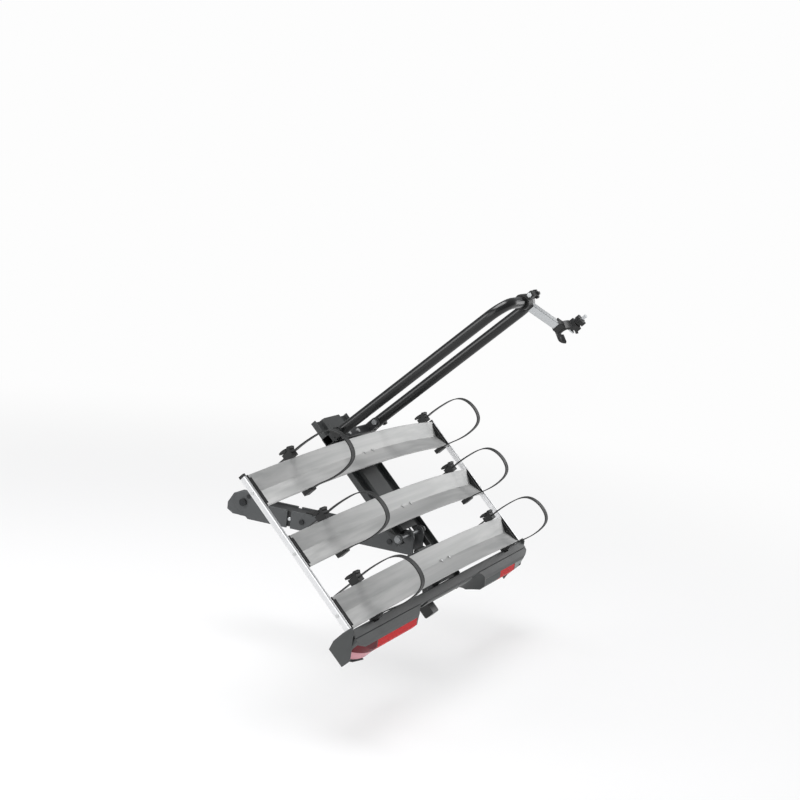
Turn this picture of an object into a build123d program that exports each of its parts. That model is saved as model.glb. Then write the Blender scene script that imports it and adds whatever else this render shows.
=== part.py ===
from build123d import *
from math import atan2, cos, degrees, radians, sin, sqrt, tan
import os

os.makedirs("parts", exist_ok=True)

# Tow-ball bicycle carrier for three bicycles, swung down on its hinge.
# Millimetres. Origin: centre of the tow ball. +X right, seen from behind, +Y to the car, +Z up.
# The swing arm lies level on the ball. The deck is tilted about the hinge at the arm's rear end.

# Overall layout
ball_diameter = 50.0
hinge_to_ball = 600.0
hinge_above_ball = 35.0
tilt = 44.0
deck_half = 620.0

# Swing arm
arm_width = 75.0
arm_plate = 6.0
arm_top = -5.0
arm_height = 56.0
arm_behind_hinge = 18.0
ear_radius = 15.0
axle_radius = 6.0
running_gap = 0.05
latch_gap_start = 402.0
latch_gap = 14.0
arm_tube_wall = 3.0
arm_tube_inset = 4.0
latch_pin_radius = 6.0
buffer_height = 2.5

# Coupling head
nose_from_ball = 26.0
nose_above_ball = 25.0
nose_radius = 32.0
cheek_plate = 6.0
head_front = 34.0
head_wall = 9.0
ball_gap = 0.3
jaw_width = 40.0
jaw_gap = 0.4
jaw_bolt_radius = 7.0
lever_pivot_back = 18.0
lever_pivot_up = 22.0
lever_length = 104.0
lever_pin_radius = 4.0
head_screw_radius = 4.0

# Centre pan
pan_half = 105.0
pan_front = 438.0
pan_sheet = 3.0
pan_floor = -16.0
pan_lip = 14.0
crown_half = 55.0
crown_height = 17.0
crown_shoulder = 6.0
window_front = 20.0
window_rear = -53.0
window_half = 58.0
window_right = 46.0
stop_wall = 4.0
stop_wall_front = -60.0
stop_wall_bottom = -26.0

# Side rails
rail_height = 20.0
rail_width = 12.0
rail_top = -4.0
rail_front = 330.0
rail_plug = 8.0
rail_wall = 2.0

# Wheel trays
tray_front = 330.0
tray_pitch = 200.0
tray_count = 3
tray_width = 100.0
tray_sheet = 2.0
tray_v = 18.0
tray_rise = 55.0
tray_hem = 7.0
end_cap_thickness = 3.0

# Tray saddles
saddle_web = 6.0
saddle_offset = 42.0
saddle_length = 64.0
saddle_foot = 3.0
seat_gap = 0.3
screw_radius = 3.0
screw_head_radius = 4.6
screw_head = 2.0

# Bow and its crossbar
bow_at = 357.0
bow_pivot_up = 60.0
bow_lean = 2.5
bow_half = 125.0
bow_top_up = 644.0
bow_tube_radius = 16.0
bow_tube_wall = 2.0
bow_corner_radius = 60.0
crossbar_width = 30.0
crossbar_wall = 2.5
bow_bracket_plate = 5.0
bow_bolt_radius = 5.0
bow_knob_radius = 17.0

# Frame holder on the bow
holder_at = 27.0
holder_yaw = 52.0
holder_bar = 24.0
holder_bar_wall = 2.0
holder_bar_length = 139.0
clamp_wall = 7.0
clamp_width = 34.0
claw_radius = 24.0
claw_width = 32.0
claw_wall = 8.0
claw_screw_radius = 5.0
claw_travel = 14.0
knob_radius = 17.0

# Wheel straps
strap_width = 22.0
strap_thickness = 3.2
strap_offsets = ((-410.0, 540.0), (-448.0, 448.0), (-490.0, 486.0))
buckle_width = 30.0
anchor_notch = 10.0

# Light board
board_over = 15.0
board_depth = 27.0
board_height = 42.0
board_wall = 3.0
board_bracket_at = 80.0
lamp_start = 190.0
lamp_round_end = 115.0
lamp_back = 42.0
lamp_height = 84.0
lamp_end_plate = 4.0
lens_wall = 3.0
lens_front = 14.0
lens_start = 262.0
lens_divider = 4.0
lens_end_margin = 5.0
lamp_tuck_start = 50.0
lamp_tuck = 28.0
lamp_lip = 3.0
plate_rail_width = 340.0
plate_rail_height = 30.0
plate_rail_depth = 5.0

# Tilt release
pedal_width = 40.0
pedal_depth = 38.0
pedal_height = 34.0
pedal_rear = -229.0
pedal_top = -92.0
pedal_pivot_ahead = -136.0
pedal_pivot_up = -64.0
pedal_shaft_radius = 7.0
pedal_bracket_half = 57.0
pedal_bracket_plate = 5.0
pedal_arm = 6.0
rod_radius = 3.0
rod_up = -29.0
rod_pin_radius = 3.5
rod_slot_play = 0.5
hook_open = 30.0
hook_plate = 4.0
hook_at = 42.0
hook_pivot_up = -11.0
hook_pivot_back = 14.0
hook_pin_radius = 4.0

# Screw places shared by neighbouring pieces
crossbar_screw_radius = 4.0
crossbar_screw_spots = [(-30.0, bow_at), (30.0, bow_at)]
board_screw_spots = [
    (x, rail_top - 36.0) for x in (-board_bracket_at - 8, -board_bracket_at + 8, board_bracket_at - 8, board_bracket_at + 8)
]

# Planes of the arm and of the tilted deck
hinge_y = -hinge_to_ball
hinge_z = hinge_above_ball
lean = radians(tilt)
deck_up = Vector(0, -sin(lean), cos(lean))
deck_ahead = Vector(0, cos(lean), sin(lean))
hinge_point = Vector(0, hinge_y, hinge_z)


def arm_side(x):
    """Upright plane along the arm at x: sketch X forward of the hinge, sketch Y above it."""
    return Plane(origin=(x, hinge_y, hinge_z), x_dir=(0, 1, 0), z_dir=(1, 0, 0))


def arm_top_plane(up):
    """Level plane at a height over the hinge: sketch X right, sketch Y forward of the hinge."""
    return Plane(origin=(0, hinge_y, hinge_z + up), x_dir=(1, 0, 0), z_dir=(0, 0, 1))


def deck_point(x, ahead, up):
    """Point of the deck: right of the middle, ahead of the hinge and above its axis."""
    return hinge_point + Vector(x, 0, 0) + deck_ahead * ahead + deck_up * up


def deck_side(x):
    """Plane across the trays at x: sketch X ahead of the hinge, sketch Y above the deck."""
    return Plane(origin=deck_point(x, 0, 0), x_dir=deck_ahead, z_dir=(1, 0, 0))


def deck_cross(ahead):
    """Plane along the trays: sketch X right, sketch Y above the deck, extrudes to the rear."""
    return Plane(origin=deck_point(0, ahead, 0), x_dir=(1, 0, 0), z_dir=-deck_ahead)


def deck_level(up):
    """Plane on the deck at a height: sketch X right, sketch Y ahead of the hinge."""
    return Plane(origin=deck_point(0, 0, up), x_dir=(1, 0, 0), z_dir=deck_up)


def finish(builder, label):
    """Name a piece and write it."""
    builder.part.label = label
    export_step(builder.part, f"parts/{label}.step")


def finish_group(label, shapes):
    """Write the solids of several builders as one group of fasteners or clips."""
    group = Compound(children=[solid for shape in shapes for solid in shape.solids()])
    group.label = label
    export_step(group, f"parts/{label}.step")


# Swing arm: two steel side plates on a box tube, from the hinge to the coupling head
arm_half = arm_width / 2
arm_bottom = arm_top - arm_height
arm_inner = arm_half - arm_plate
nose_ahead = hinge_to_ball - nose_from_ball
nose_up = nose_above_ball - hinge_above_ball
cheek_rear = latch_gap_start + latch_gap
plate_bolt_spots = [(60.0, arm_top - arm_height / 2), (latch_gap_start - 40, arm_top - arm_height / 2)]

for side, label in ((-1, "arm_plate_left"), (1, "arm_plate_right")):
    outer = side * arm_half
    with BuildPart() as arm_plate_part:
        with BuildSketch(arm_side(outer)):
            with BuildLine():
                Polyline(
                    (-arm_behind_hinge, arm_bottom),
                    (latch_gap_start, arm_bottom),
                    (latch_gap_start, arm_top),
                    (ear_radius, arm_top),
                    (ear_radius, 0),
                )
                CenterArc((0, 0), ear_radius, 0, 180)
                Polyline((-ear_radius, 0), (-arm_behind_hinge, arm_top), (-arm_behind_hinge, arm_bottom))
            make_face()
        extrude(amount=-side * arm_plate)
        with BuildSketch(arm_side(outer)):
            Circle(axle_radius + running_gap)
            with Locations(*plate_bolt_spots):
                Circle(head_screw_radius + running_gap)
        extrude(amount=-side * arm_plate, mode=Mode.SUBTRACT)
    finish(arm_plate_part, label)

tube_half = arm_inner
tube_top = arm_top - arm_tube_inset
tube_bottom = arm_bottom + arm_tube_inset
tube_rear = ear_radius + 8
tube_front = nose_ahead - nose_radius - 12
with BuildPart() as arm_tube:
    with BuildSketch(arm_side(-tube_half)):
        with BuildLine():
            Polyline(
                (tube_rear, tube_bottom),
                (tube_front, tube_bottom),
                (tube_front, tube_top),
                (tube_rear, tube_top),
                close=True,
            )
        make_face()
    extrude(amount=2 * tube_half)
    with BuildSketch(arm_side(-tube_half + arm_tube_wall)):
        with BuildLine():
            Polyline(
                (tube_rear, tube_bottom + arm_tube_wall),
                (tube_front, tube_bottom + arm_tube_wall),
                (tube_front, tube_top - arm_tube_wall),
                (tube_rear, tube_top - arm_tube_wall),
                close=True,
            )
        make_face()
    extrude(amount=2 * (tube_half - arm_tube_wall), mode=Mode.SUBTRACT)
    with BuildSketch(arm_side(-tube_half)):
        with Locations(*plate_bolt_spots):
            Circle(head_screw_radius + running_gap)
        with Locations((latch_gap_start + latch_gap / 2, arm_top - arm_height / 2)):
            Circle(latch_pin_radius + running_gap)
    extrude(amount=2 * tube_half, mode=Mode.SUBTRACT)
finish(arm_tube, "arm_tube")


def cross_bolts(spots, half, radius, head_radius, head):
    """Through bolts along X with a round head on the left and a hexagon nut on the right."""
    with BuildPart() as bolts:
        with BuildSketch(arm_side(-half)):
            with Locations(*spots):
                Circle(radius)
        extrude(amount=2 * half)
        with BuildSketch(arm_side(-half - head)):
            with Locations(*spots):
                Circle(head_radius)
        extrude(amount=head)
        with BuildSketch(arm_side(half)):
            with Locations(*spots):
                RegularPolygon(head_radius, 6)
        extrude(amount=head)
    return bolts.part


plate_bolts = cross_bolts(plate_bolt_spots, arm_half, head_screw_radius, 8.0, 5.0)

# Latch pin: the round bar in the gap of the arm that the platform's hook catches
latch_spot = (latch_gap_start + latch_gap / 2, arm_top - arm_height / 2)
latch_reach = hook_at + hook_plate + 5
with BuildPart() as latch_pin:
    with BuildSketch(arm_side(-arm_inner - 3)):
        with Locations(latch_spot):
            Circle(latch_pin_radius)
    extrude(amount=latch_reach + arm_inner + 3)
    chamfer(latch_pin.edges().filter_by(GeomType.CIRCLE), 1.0)
finish(latch_pin, "latch_pin")

# Rubber buffers on the arm, under the pan's crown when the deck is level
with BuildPart() as arm_buffers:
    with BuildSketch(arm_top_plane(tube_top)):
        with Locations((0, tube_rear + 30), (0, latch_gap_start - 60)):
            RectangleRounded(2 * arm_inner - 8, 30, 4)
    extrude(amount=arm_tube_inset + buffer_height - 0.3)
finish(arm_buffers, "arm_buffers")

# Hinge axle: the long bright bolt through the pan's lugs and the arm's ears
lug_plate = 6.0
lug_radius = 14.0
lug_outer = pan_half + lug_plate
lug_right = crown_half
washer_radius = 12.0
washer = 2.5
axle_head = 7.0
with BuildPart() as hinge_axle:
    with BuildSketch(arm_side(-lug_outer - washer - 0.5)):
        Circle(axle_radius)
    extrude(amount=lug_outer + lug_right + 2 * washer + 1.0)
    with BuildSketch(arm_side(-lug_outer - 0.5)):
        Circle(washer_radius)
    extrude(amount=-washer)
    with BuildSketch(arm_side(-lug_outer - washer - 0.5)):
        RegularPolygon(10.0, 6)
    extrude(amount=-axle_head)
    with BuildSketch(arm_side(lug_right + 0.5)):
        Circle(washer_radius)
    extrude(amount=washer)
    with BuildSketch(arm_side(lug_right + washer + 0.5)):
        RegularPolygon(10.0, 6)
    extrude(amount=axle_head)
finish(hinge_axle, "hinge_axle")

# Coupling head: cheeks with a round nose, and the casting that sits over the ball
ball_ahead = hinge_to_ball
ball_up = -hinge_above_ball
head_top = nose_up + nose_radius - 10
head_rear = nose_ahead - nose_radius - 14
cheek_outer = arm_half
cheek_inner = cheek_outer - cheek_plate
mouth_radius = ball_diameter / 2 + ball_gap
lever_pivot = (nose_ahead - lever_pivot_back, nose_up + lever_pivot_up)
with BuildPart() as coupling_housing:
    for outer in (-cheek_outer, cheek_inner):
        with BuildSketch(arm_side(outer)):
            with BuildLine():
                Polyline(
                    (cheek_rear, arm_bottom),
                    (nose_ahead - 20, arm_bottom),
                    (nose_ahead + nose_radius * sin(radians(60)), nose_up - nose_radius / 2),
                )
                CenterArc((nose_ahead, nose_up), nose_radius, -30, 120)
                Polyline(
                    (nose_ahead, nose_up + nose_radius),
                    (nose_ahead - 60, arm_top),
                    (cheek_rear, arm_top),
                    (cheek_rear, arm_bottom),
                )
            make_face()
        extrude(amount=cheek_plate)
    with BuildSketch(arm_side(-cheek_inner)):
        with BuildLine():
            Polyline(
                (head_rear, head_top),
                (head_rear, tube_top + 1),
                (nose_ahead - jaw_width / 2, tube_top + 1),
                (nose_ahead - jaw_width / 2, arm_bottom + 6),
                (ball_ahead + 12, arm_bottom + 6),
                (ball_ahead + head_front, ball_up - 8),
                (ball_ahead + head_front, ball_up + 14),
                (ball_ahead + 14, head_top),
                close=True,
            )
        make_face()
        fillet(vertices().sort_by(Axis.Y)[-3:-1], 8)
    extrude(amount=2 * cheek_inner)
    with Locations((0, 0, 0)):
        Sphere(mouth_radius, mode=Mode.SUBTRACT)
        Cylinder(mouth_radius, 60, align=(Align.CENTER, Align.CENTER, Align.MAX), mode=Mode.SUBTRACT)
    # Pocket in which the jaw turns, open below and behind
    with BuildSketch(arm_side(-jaw_width / 2 - jaw_gap)):
        with BuildLine():
            Polyline(
                (head_rear - 1, arm_bottom - 1),
                (ball_ahead - 4, arm_bottom - 1),
                (ball_ahead - 4, ball_up + 4),
                (nose_ahead + 16.5, nose_up),
                (nose_ahead + 16.5, nose_up + 16.5),
                (head_rear - 1, nose_up + 16.5),
                close=True,
            )
        make_face()
    extrude(amount=jaw_width + 2 * jaw_gap, mode=Mode.SUBTRACT)
    with BuildSketch(arm_side(-cheek_outer)):
        with Locations((nose_ahead, nose_up)):
            Circle(jaw_bolt_radius + running_gap)
        with Locations(lever_pivot):
            Circle(lever_pin_radius + running_gap)
    extrude(amount=2 * cheek_outer, mode=Mode.SUBTRACT)
    # Channel over the head for the clamp lever
    with BuildSketch(arm_side(-14)):
        with BuildLine():
            Polyline(
                (head_rear - 1, head_top + 30),
                (head_rear - 1, lever_pivot[1] - 11),
                (lever_pivot[0] + 11, lever_pivot[1] - 11),
                (lever_pivot[0] + 11, head_top + 30),
                close=True,
            )
        make_face()
    extrude(amount=28, mode=Mode.SUBTRACT)
finish(coupling_housing, "coupling_housing")

jaw_bolt = cross_bolts([(nose_ahead, nose_up)], cheek_outer, jaw_bolt_radius, 12.0, 7.0)

with BuildPart() as lever_pin:
    with BuildSketch(arm_side(-cheek_outer)):
        with Locations(lever_pivot):
            Circle(lever_pin_radius)
    extrude(amount=2 * cheek_outer)
    with BuildSketch(arm_side(-cheek_outer - 2)):
        with Locations(lever_pivot):
            Circle(7)
    extrude(amount=2)
    with BuildSketch(arm_side(cheek_outer)):
        with Locations(lever_pivot):
            Circle(7)
    extrude(amount=2)
finish_group("arm_bolts", [plate_bolts, jaw_bolt, lever_pin.part])

# Jaw: hangs on the bolt behind the ball and closes under it
with BuildPart() as coupling_jaw:
    with BuildSketch(arm_side(-jaw_width / 2)):
        with BuildLine():
            Polyline(
                (nose_ahead - 14, nose_up),
                (nose_ahead - 14, ball_up - 18),
                (nose_ahead - 4, ball_up - 24),
                (ball_ahead - 6, ball_up - 24),
                (ball_ahead - 6, ball_up),
                (nose_ahead + 14, nose_up),
            )
            CenterArc((nose_ahead, nose_up), 14, 0, 180)
        make_face()
        with Locations((nose_ahead, nose_up)):
            Circle(jaw_bolt_radius + running_gap, mode=Mode.SUBTRACT)
    extrude(amount=jaw_width)
    with Locations((0, 0, 0)):
        Sphere(mouth_radius, mode=Mode.SUBTRACT)
finish(coupling_jaw, "coupling_jaw")

# Clamp lever: forged bar with a cam end and a plastic grip, flat on the arm when closed
lever_back = lever_pivot[0] - lever_length
lever_low = lever_pivot[1] + 7
with BuildPart() as clamp_lever:
    with BuildSketch(arm_side(-10)):
        with BuildLine():
            Polyline(
                (lever_pivot[0] + 9, lever_pivot[1]),
                (lever_pivot[0] + 4, lever_pivot[1] - 8),
                (lever_pivot[0] - 8, lever_pivot[1] - 6),
                (lever_pivot[0] - 16, lever_low),
                (lever_back, lever_low + 4),
                (lever_back, lever_low + 12),
                (lever_pivot[0] - 14, lever_low + 10),
                (lever_pivot[0] + 4, lever_pivot[1] + 8),
                close=True,
            )
        make_face()
        with Locations(lever_pivot):
            Circle(lever_pin_radius + running_gap, mode=Mode.SUBTRACT)
    extrude(amount=20)
finish(clamp_lever, "clamp_lever")

with BuildPart() as lever_grip:
    with BuildSketch(arm_side(-15)):
        with BuildLine():
            Polyline(
                (lever_back - 6, lever_low - 1),
                (lever_back + 58, lever_low - 2),
                (lever_back + 58, lever_low + 17),
                (lever_back - 6, lever_low + 19),
                close=True,
            )
        make_face()
        fillet(vertices(), 5)
    extrude(amount=30)
    with BuildSketch(arm_side(-10)):
        with BuildLine():
            Polyline(
                (lever_back, lever_low + 4),
                (lever_back + 60, lever_low + 1.0),
                (lever_back + 60, lever_low + 11),
                (lever_back, lever_low + 12),
                close=True,
            )
        make_face()
    extrude(amount=20, mode=Mode.SUBTRACT)
finish(lever_grip, "lever_grip")

# Centre pan: one folded steel sheet, lips outside, a raised crown over the arm
tray_fronts = [tray_front - index * tray_pitch for index in range(tray_count)]
pan_rear = tray_fronts[-1] - tray_width - 2
saddle_flange = 38.0
rivet_radius = 2.5
crown_top = pan_floor + crown_height
pan_section = [
    (-pan_half, pan_floor + pan_lip),
    (-pan_half, pan_floor - pan_sheet),
    (-crown_half + pan_sheet, pan_floor - pan_sheet),
    (-crown_half + pan_sheet, crown_top - crown_shoulder),
    (-crown_half + pan_sheet + crown_shoulder / 2, crown_top - pan_sheet),
]
pan_section += [(-x, up) for x, up in reversed(pan_section)]
pan_section += [
    (pan_half - pan_sheet, pan_floor + pan_lip),
    (pan_half - pan_sheet, pan_floor),
    (crown_half, pan_floor),
    (crown_half, crown_top - crown_shoulder),
    (crown_half - crown_shoulder, crown_top),
    (-crown_half + crown_shoulder, crown_top),
    (-crown_half, crown_top - crown_shoulder),
    (-crown_half, pan_floor),
    (-pan_half + pan_sheet, pan_floor),
    (-pan_half + pan_sheet, pan_floor + pan_lip),
]
with BuildPart() as centre_pan:
    with BuildSketch(deck_cross(pan_front)):
        with BuildLine():
            Polyline(*pan_section, close=True)
        make_face()
    extrude(amount=pan_front - pan_rear)
    # Window for the arm's ears and rear end, carried out to the left edge behind the hinge
    with BuildSketch(deck_level(-60)):
        with Locations(((window_right - window_half) / 2, (window_front + window_rear) / 2)):
            Rectangle(window_right + window_half, window_front - window_rear)
        with Locations((-(pan_half + 1 + window_half) / 2, (window_rear - lug_radius) / 2)):
            Rectangle(pan_half + 1 - window_half, -lug_radius - window_rear)
    extrude(amount=120, mode=Mode.SUBTRACT)
    # Lugs for the hinge axle: on the left lip, and inside the crown's right wall
    for outer in (-lug_outer, crown_half - pan_sheet - lug_plate):
        with BuildSketch(deck_side(outer)):
            with BuildLine():
                Polyline(
                    (-lug_radius, 0),
                    (-lug_radius, pan_floor - pan_sheet),
                    (lug_radius + 26, pan_floor - pan_sheet),
                    (lug_radius + 26, pan_floor + 4),
                    (lug_radius, 0),
                )
                CenterArc((0, 0), lug_radius, 0, 180)
            make_face()
        extrude(amount=lug_plate)
    with BuildSketch(deck_side(-lug_outer)):
        Circle(axle_radius + 2.0)
    extrude(amount=lug_outer + lug_right, mode=Mode.SUBTRACT)
    # Cross wall behind the window, which carries the tilt stop
    with BuildSketch(deck_cross(stop_wall_front)):
        with Locations((0, (crown_top - pan_sheet + stop_wall_bottom) / 2)):
            Rectangle(2 * (crown_half - pan_sheet), crown_top - pan_sheet - stop_wall_bottom)
    extrude(amount=stop_wall)
    # Holes for the screws of the crossbar, the saddles' rivets, the board's brackets and the hook's pin
    with BuildSketch(deck_level(crown_top)):
        with Locations(*crossbar_screw_spots):
            Circle(crossbar_screw_radius + running_gap)
        for front in tray_fronts:
            with Locations((0, front - tray_width / 2)):
                with GridLocations(64, 2 * saddle_flange - 10, 2, 2):
                    Circle(rivet_radius + running_gap)
    extrude(amount=-pan_sheet, mode=Mode.SUBTRACT)
    with BuildSketch(deck_level(pan_floor)):
        with Locations(*[(x, pan_rear + 20) for x in (-board_bracket_at, board_bracket_at)]):
            Circle(screw_radius + running_gap)
    extrude(amount=-pan_sheet, mode=Mode.SUBTRACT)
    with BuildSketch(deck_side(crown_half - pan_sheet - 1)):
        with Locations((latch_spot[0] - hook_pivot_back, hook_pivot_up)):
            Circle(hook_pin_radius + running_gap)
    extrude(amount=pan_sheet + 2, mode=Mode.SUBTRACT)
finish(centre_pan, "centre_pan")

# Flanged plastic bushes in the lugs
with BuildPart() as hinge_bushes:
    for outer, way in ((-lug_outer, 1), (lug_right, -1)):
        with BuildSketch(deck_side(outer)):
            Circle(axle_radius + 2.0)
            Circle(axle_radius + running_gap, mode=Mode.SUBTRACT)
        extrude(amount=way * (lug_plate + 3))
        with BuildSketch(deck_side(outer + way * (lug_plate + 3))):
            Circle(axle_radius + 5.0)
            Circle(axle_radius + running_gap, mode=Mode.SUBTRACT)
        extrude(amount=way * 2)
finish(hinge_bushes, "hinge_bushes")

# Rubber strip on the cross wall: the arm's end stops against it at full tilt
stop_radius = 6.0
stop_gap = 0.3
stop_reach = arm_behind_hinge + stop_radius + stop_gap
stop_mid = pan_floor - pan_sheet / 2
stop_up = (stop_mid - stop_reach * sin(lean)) / cos(lean)
stop_ahead = -stop_reach * cos(lean) + stop_up * sin(lean)
with BuildPart() as tilt_stop:
    with BuildSketch(deck_side(-30)):
        with Locations((stop_ahead, stop_mid)):
            Circle(stop_radius)
        with Locations(((stop_wall_front + stop_ahead) / 2, stop_mid)):
            Rectangle(stop_ahead - stop_wall_front, 2 * stop_radius)
    extrude(amount=60)
finish(tilt_stop, "tilt_stop")

# Side rails: rounded hollow bars along both ends of the trays, with black plugs in front
rail_mid = rail_top - rail_height / 2
rail_screw_spots = [(front - tray_width / 2, rail_mid) for front in tray_fronts]
rail_screw_radius = 2.5
rail_screw_head = 1.6
for side, label in ((-1, "side_rail_left"), (1, "side_rail_right")):
    with BuildPart() as side_rail:
        with BuildSketch(deck_cross(rail_front)):
            with Locations((side * (deck_half + rail_width / 2), rail_mid)):
                RectangleRounded(rail_width, rail_height, 4.5)
                RectangleRounded(
                    rail_width - 2 * rail_wall, rail_height - 2 * rail_wall, 2.5, mode=Mode.SUBTRACT
                )
        extrude(amount=rail_front - pan_rear)
        with BuildSketch(deck_side(side * deck_half)):
            with Locations(*rail_screw_spots):
                Circle(rail_screw_radius + running_gap)
        extrude(amount=side * rail_width, mode=Mode.SUBTRACT)
    finish(side_rail, label)

with BuildPart() as rail_plugs:
    with BuildSketch(deck_cross(rail_front + rail_plug)):
        with Locations(*[(side * (deck_half + rail_width / 2), rail_mid) for side in (-1, 1)]):
            RectangleRounded(rail_width, rail_height, 4.5)
    extrude(amount=rail_plug)
    with BuildSketch(deck_cross(rail_front)):
        with Locations(*[(side * (deck_half + rail_width / 2), rail_mid) for side in (-1, 1)]):
            RectangleRounded(
                rail_width - 2 * rail_wall - 0.2, rail_height - 2 * rail_wall - 0.2, 2.4
            )
    extrude(amount=14)

# Wheel trays: folded V channels bent to a shallow arch from rail to rail
rim_radius = (deck_half**2 + tray_rise**2) / (2 * tray_rise)
crest_up = rail_top + tray_rise
tray_end = deck_half - end_cap_thickness
tray_angle = degrees(atan2(tray_end, rim_radius - tray_rise * (tray_end / deck_half) ** 2))
tray_slope = tray_v / (tray_width / 2)
saddle_half = 48.0
saddle_v_half = 27.0
tray_screw_spots = (-28.0, 28.0)
tray_screw_depth = 13.0


def rim_up(x):
    """Height of the tray's rims at x."""
    return crest_up - (rim_radius - sqrt(rim_radius**2 - x**2))


def arch_axis(way):
    """Axis about which a tray's section sweeps one half of its arch."""
    return Axis(deck_point(0, 0, crest_up - rim_radius), deck_ahead * way)


for index, front in enumerate(tray_fronts):
    middle = front - tray_width / 2
    crease = crest_up - tray_v
    rear = front - tray_width
    with BuildPart() as tray:
        with BuildSketch(deck_side(0)):
            with BuildLine():
                Polyline(
                    (front - tray_sheet, crest_up - tray_hem),
                    (front, crest_up - tray_hem),
                    (front, crest_up),
                    (middle, crease),
                    (rear, crest_up),
                    (rear, crest_up - tray_hem),
                    (rear + tray_sheet, crest_up - tray_hem),
                    (rear + tray_sheet, crest_up - 1.25 * tray_sheet - 0.6),
                    (middle, crease - tray_sheet),
                    (front - tray_sheet, crest_up - 1.25 * tray_sheet - 0.6),
                    close=True,
                )
            make_face()
        revolve(axis=arch_axis(1), revolution_arc=tray_angle)
        with BuildSketch(deck_side(0)):
            with BuildLine():
                Polyline(
                    (front - tray_sheet, crest_up - tray_hem),
                    (front, crest_up - tray_hem),
                    (front, crest_up),
                    (middle, crease),
                    (rear, crest_up),
                    (rear, crest_up - tray_hem),
                    (rear + tray_sheet, crest_up - tray_hem),
                    (rear + tray_sheet, crest_up - 1.25 * tray_sheet - 0.6),
                    (middle, crease - tray_sheet),
                    (front - tray_sheet, crest_up - 1.25 * tray_sheet - 0.6),
                    close=True,
                )
            make_face()
        revolve(axis=arch_axis(-1), revolution_arc=tray_angle)
        with BuildSketch(deck_level(0)):
            with Locations(*[(x, middle) for x in tray_screw_spots]):
                Circle(screw_radius + running_gap)
        extrude(amount=crest_up, mode=Mode.SUBTRACT)
    finish(tray, f"tray_{index + 1}")

# Black caps that close the V at both ends of each tray
with BuildPart() as tray_end_caps:
    cap_rim = rim_up(tray_end)
    for front in tray_fronts:
        middle = front - tray_width / 2
        rear = front - tray_width
        for way in (1, -1):
            with BuildSketch(deck_side(0)):
                with BuildLine():
                    Polyline(
                        (middle, crest_up - tray_v + 0.2),
                        (middle + 42, crest_up - tray_v + 0.2 + 42 * tray_slope),
                        (middle - 42, crest_up - tray_v + 0.2 + 42 * tray_slope),
                        close=True,
                    )
                make_face()
            revolve(axis=arch_axis(way), revolution_arc=tray_angle)
    with BuildSketch(deck_level(-60)):
        Rectangle(2 * (tray_end - 12), 4 * deck_half)
    extrude(amount=160, mode=Mode.SUBTRACT)
    for front in tray_fronts:
        middle = front - tray_width / 2
        rear = front - tray_width
        for plate_start in (-deck_half, tray_end):
            with BuildSketch(deck_side(plate_start)):
                with BuildLine():
                    Polyline(
                        (front + 1, cap_rim + 0.6),
                        (front + 1, cap_rim - tray_hem - 1),
                        (middle, cap_rim - tray_v - 6),
                        (rear - 1, cap_rim - tray_hem - 1),
                        (rear - 1, cap_rim + 0.6),
                        close=True,
                    )
                make_face()
            extrude(amount=end_cap_thickness)
    with BuildSketch(deck_side(-deck_half - 1)):
        with Locations(*rail_screw_spots):
            Circle(rail_screw_radius + running_gap)
    extrude(amount=2 * deck_half + 2, mode=Mode.SUBTRACT)
finish_group("end_caps", [rail_plugs.part, tray_end_caps.part])

# Screws through the rails into the end caps
with BuildPart() as rail_screws:
    for side in (-1, 1):
        with BuildSketch(deck_side(side * (deck_half + rail_width))):
            with Locations(*rail_screw_spots):
                Circle(rail_screw_radius)
        extrude(amount=-side * (rail_width + end_cap_thickness + 6))
        with BuildSketch(deck_side(side * (deck_half + rail_width))):
            with Locations(*rail_screw_spots):
                Circle(2 * rail_screw_radius)
        extrude(amount=side * rail_screw_head)

# Saddles: cast blocks on the crown, with a V top that carries the tray's crease
saddle_crease = rim_up(saddle_half) - tray_v - tray_sheet - seat_gap / 3
under_slope = (tray_v - 0.25 * tray_sheet - 0.6) / (tray_width / 2 - tray_sheet)
flange_top = crown_top + saddle_foot
with BuildPart() as tray_saddles:
    for front in tray_fronts:
        middle = front - tray_width / 2
        with BuildSketch(deck_side(-saddle_half)):
            with BuildLine():
                Polyline(
                    (middle - saddle_v_half, crown_top),
                    (middle + saddle_v_half, crown_top),
                    (middle + saddle_v_half, saddle_crease + saddle_v_half * under_slope),
                    (middle, saddle_crease),
                    (middle - saddle_v_half, saddle_crease + saddle_v_half * under_slope),
                    close=True,
                )
            make_face()
        extrude(amount=2 * saddle_half)
        with BuildSketch(deck_side(-saddle_half + saddle_web)):
            with Locations((middle, crown_top + 4)):
                Rectangle(2 * (saddle_v_half - saddle_web), 8)
        extrude(amount=2 * (saddle_half - saddle_web), mode=Mode.SUBTRACT)
        with BuildSketch(deck_level(crown_top)):
            with Locations((0, middle)):
                Rectangle(2 * saddle_half, 2 * saddle_flange)
                Rectangle(2 * saddle_half - 2, 2 * saddle_v_half - 2, mode=Mode.SUBTRACT)
        extrude(amount=saddle_foot)
        with BuildSketch(deck_level(crown_top)):
            with Locations((0, middle)):
                with GridLocations(64, 2 * saddle_flange - 10, 2, 2):
                    Circle(rivet_radius + running_gap)
        extrude(amount=saddle_foot, mode=Mode.SUBTRACT)
        with BuildSketch(deck_level(crest_up)):
            with Locations(*[(x, middle) for x in tray_screw_spots]):
                Circle(screw_radius + running_gap)
        extrude(amount=-tray_v - tray_sheet - tray_screw_depth, mode=Mode.SUBTRACT)
finish(tray_saddles, "tray_saddles")

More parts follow.
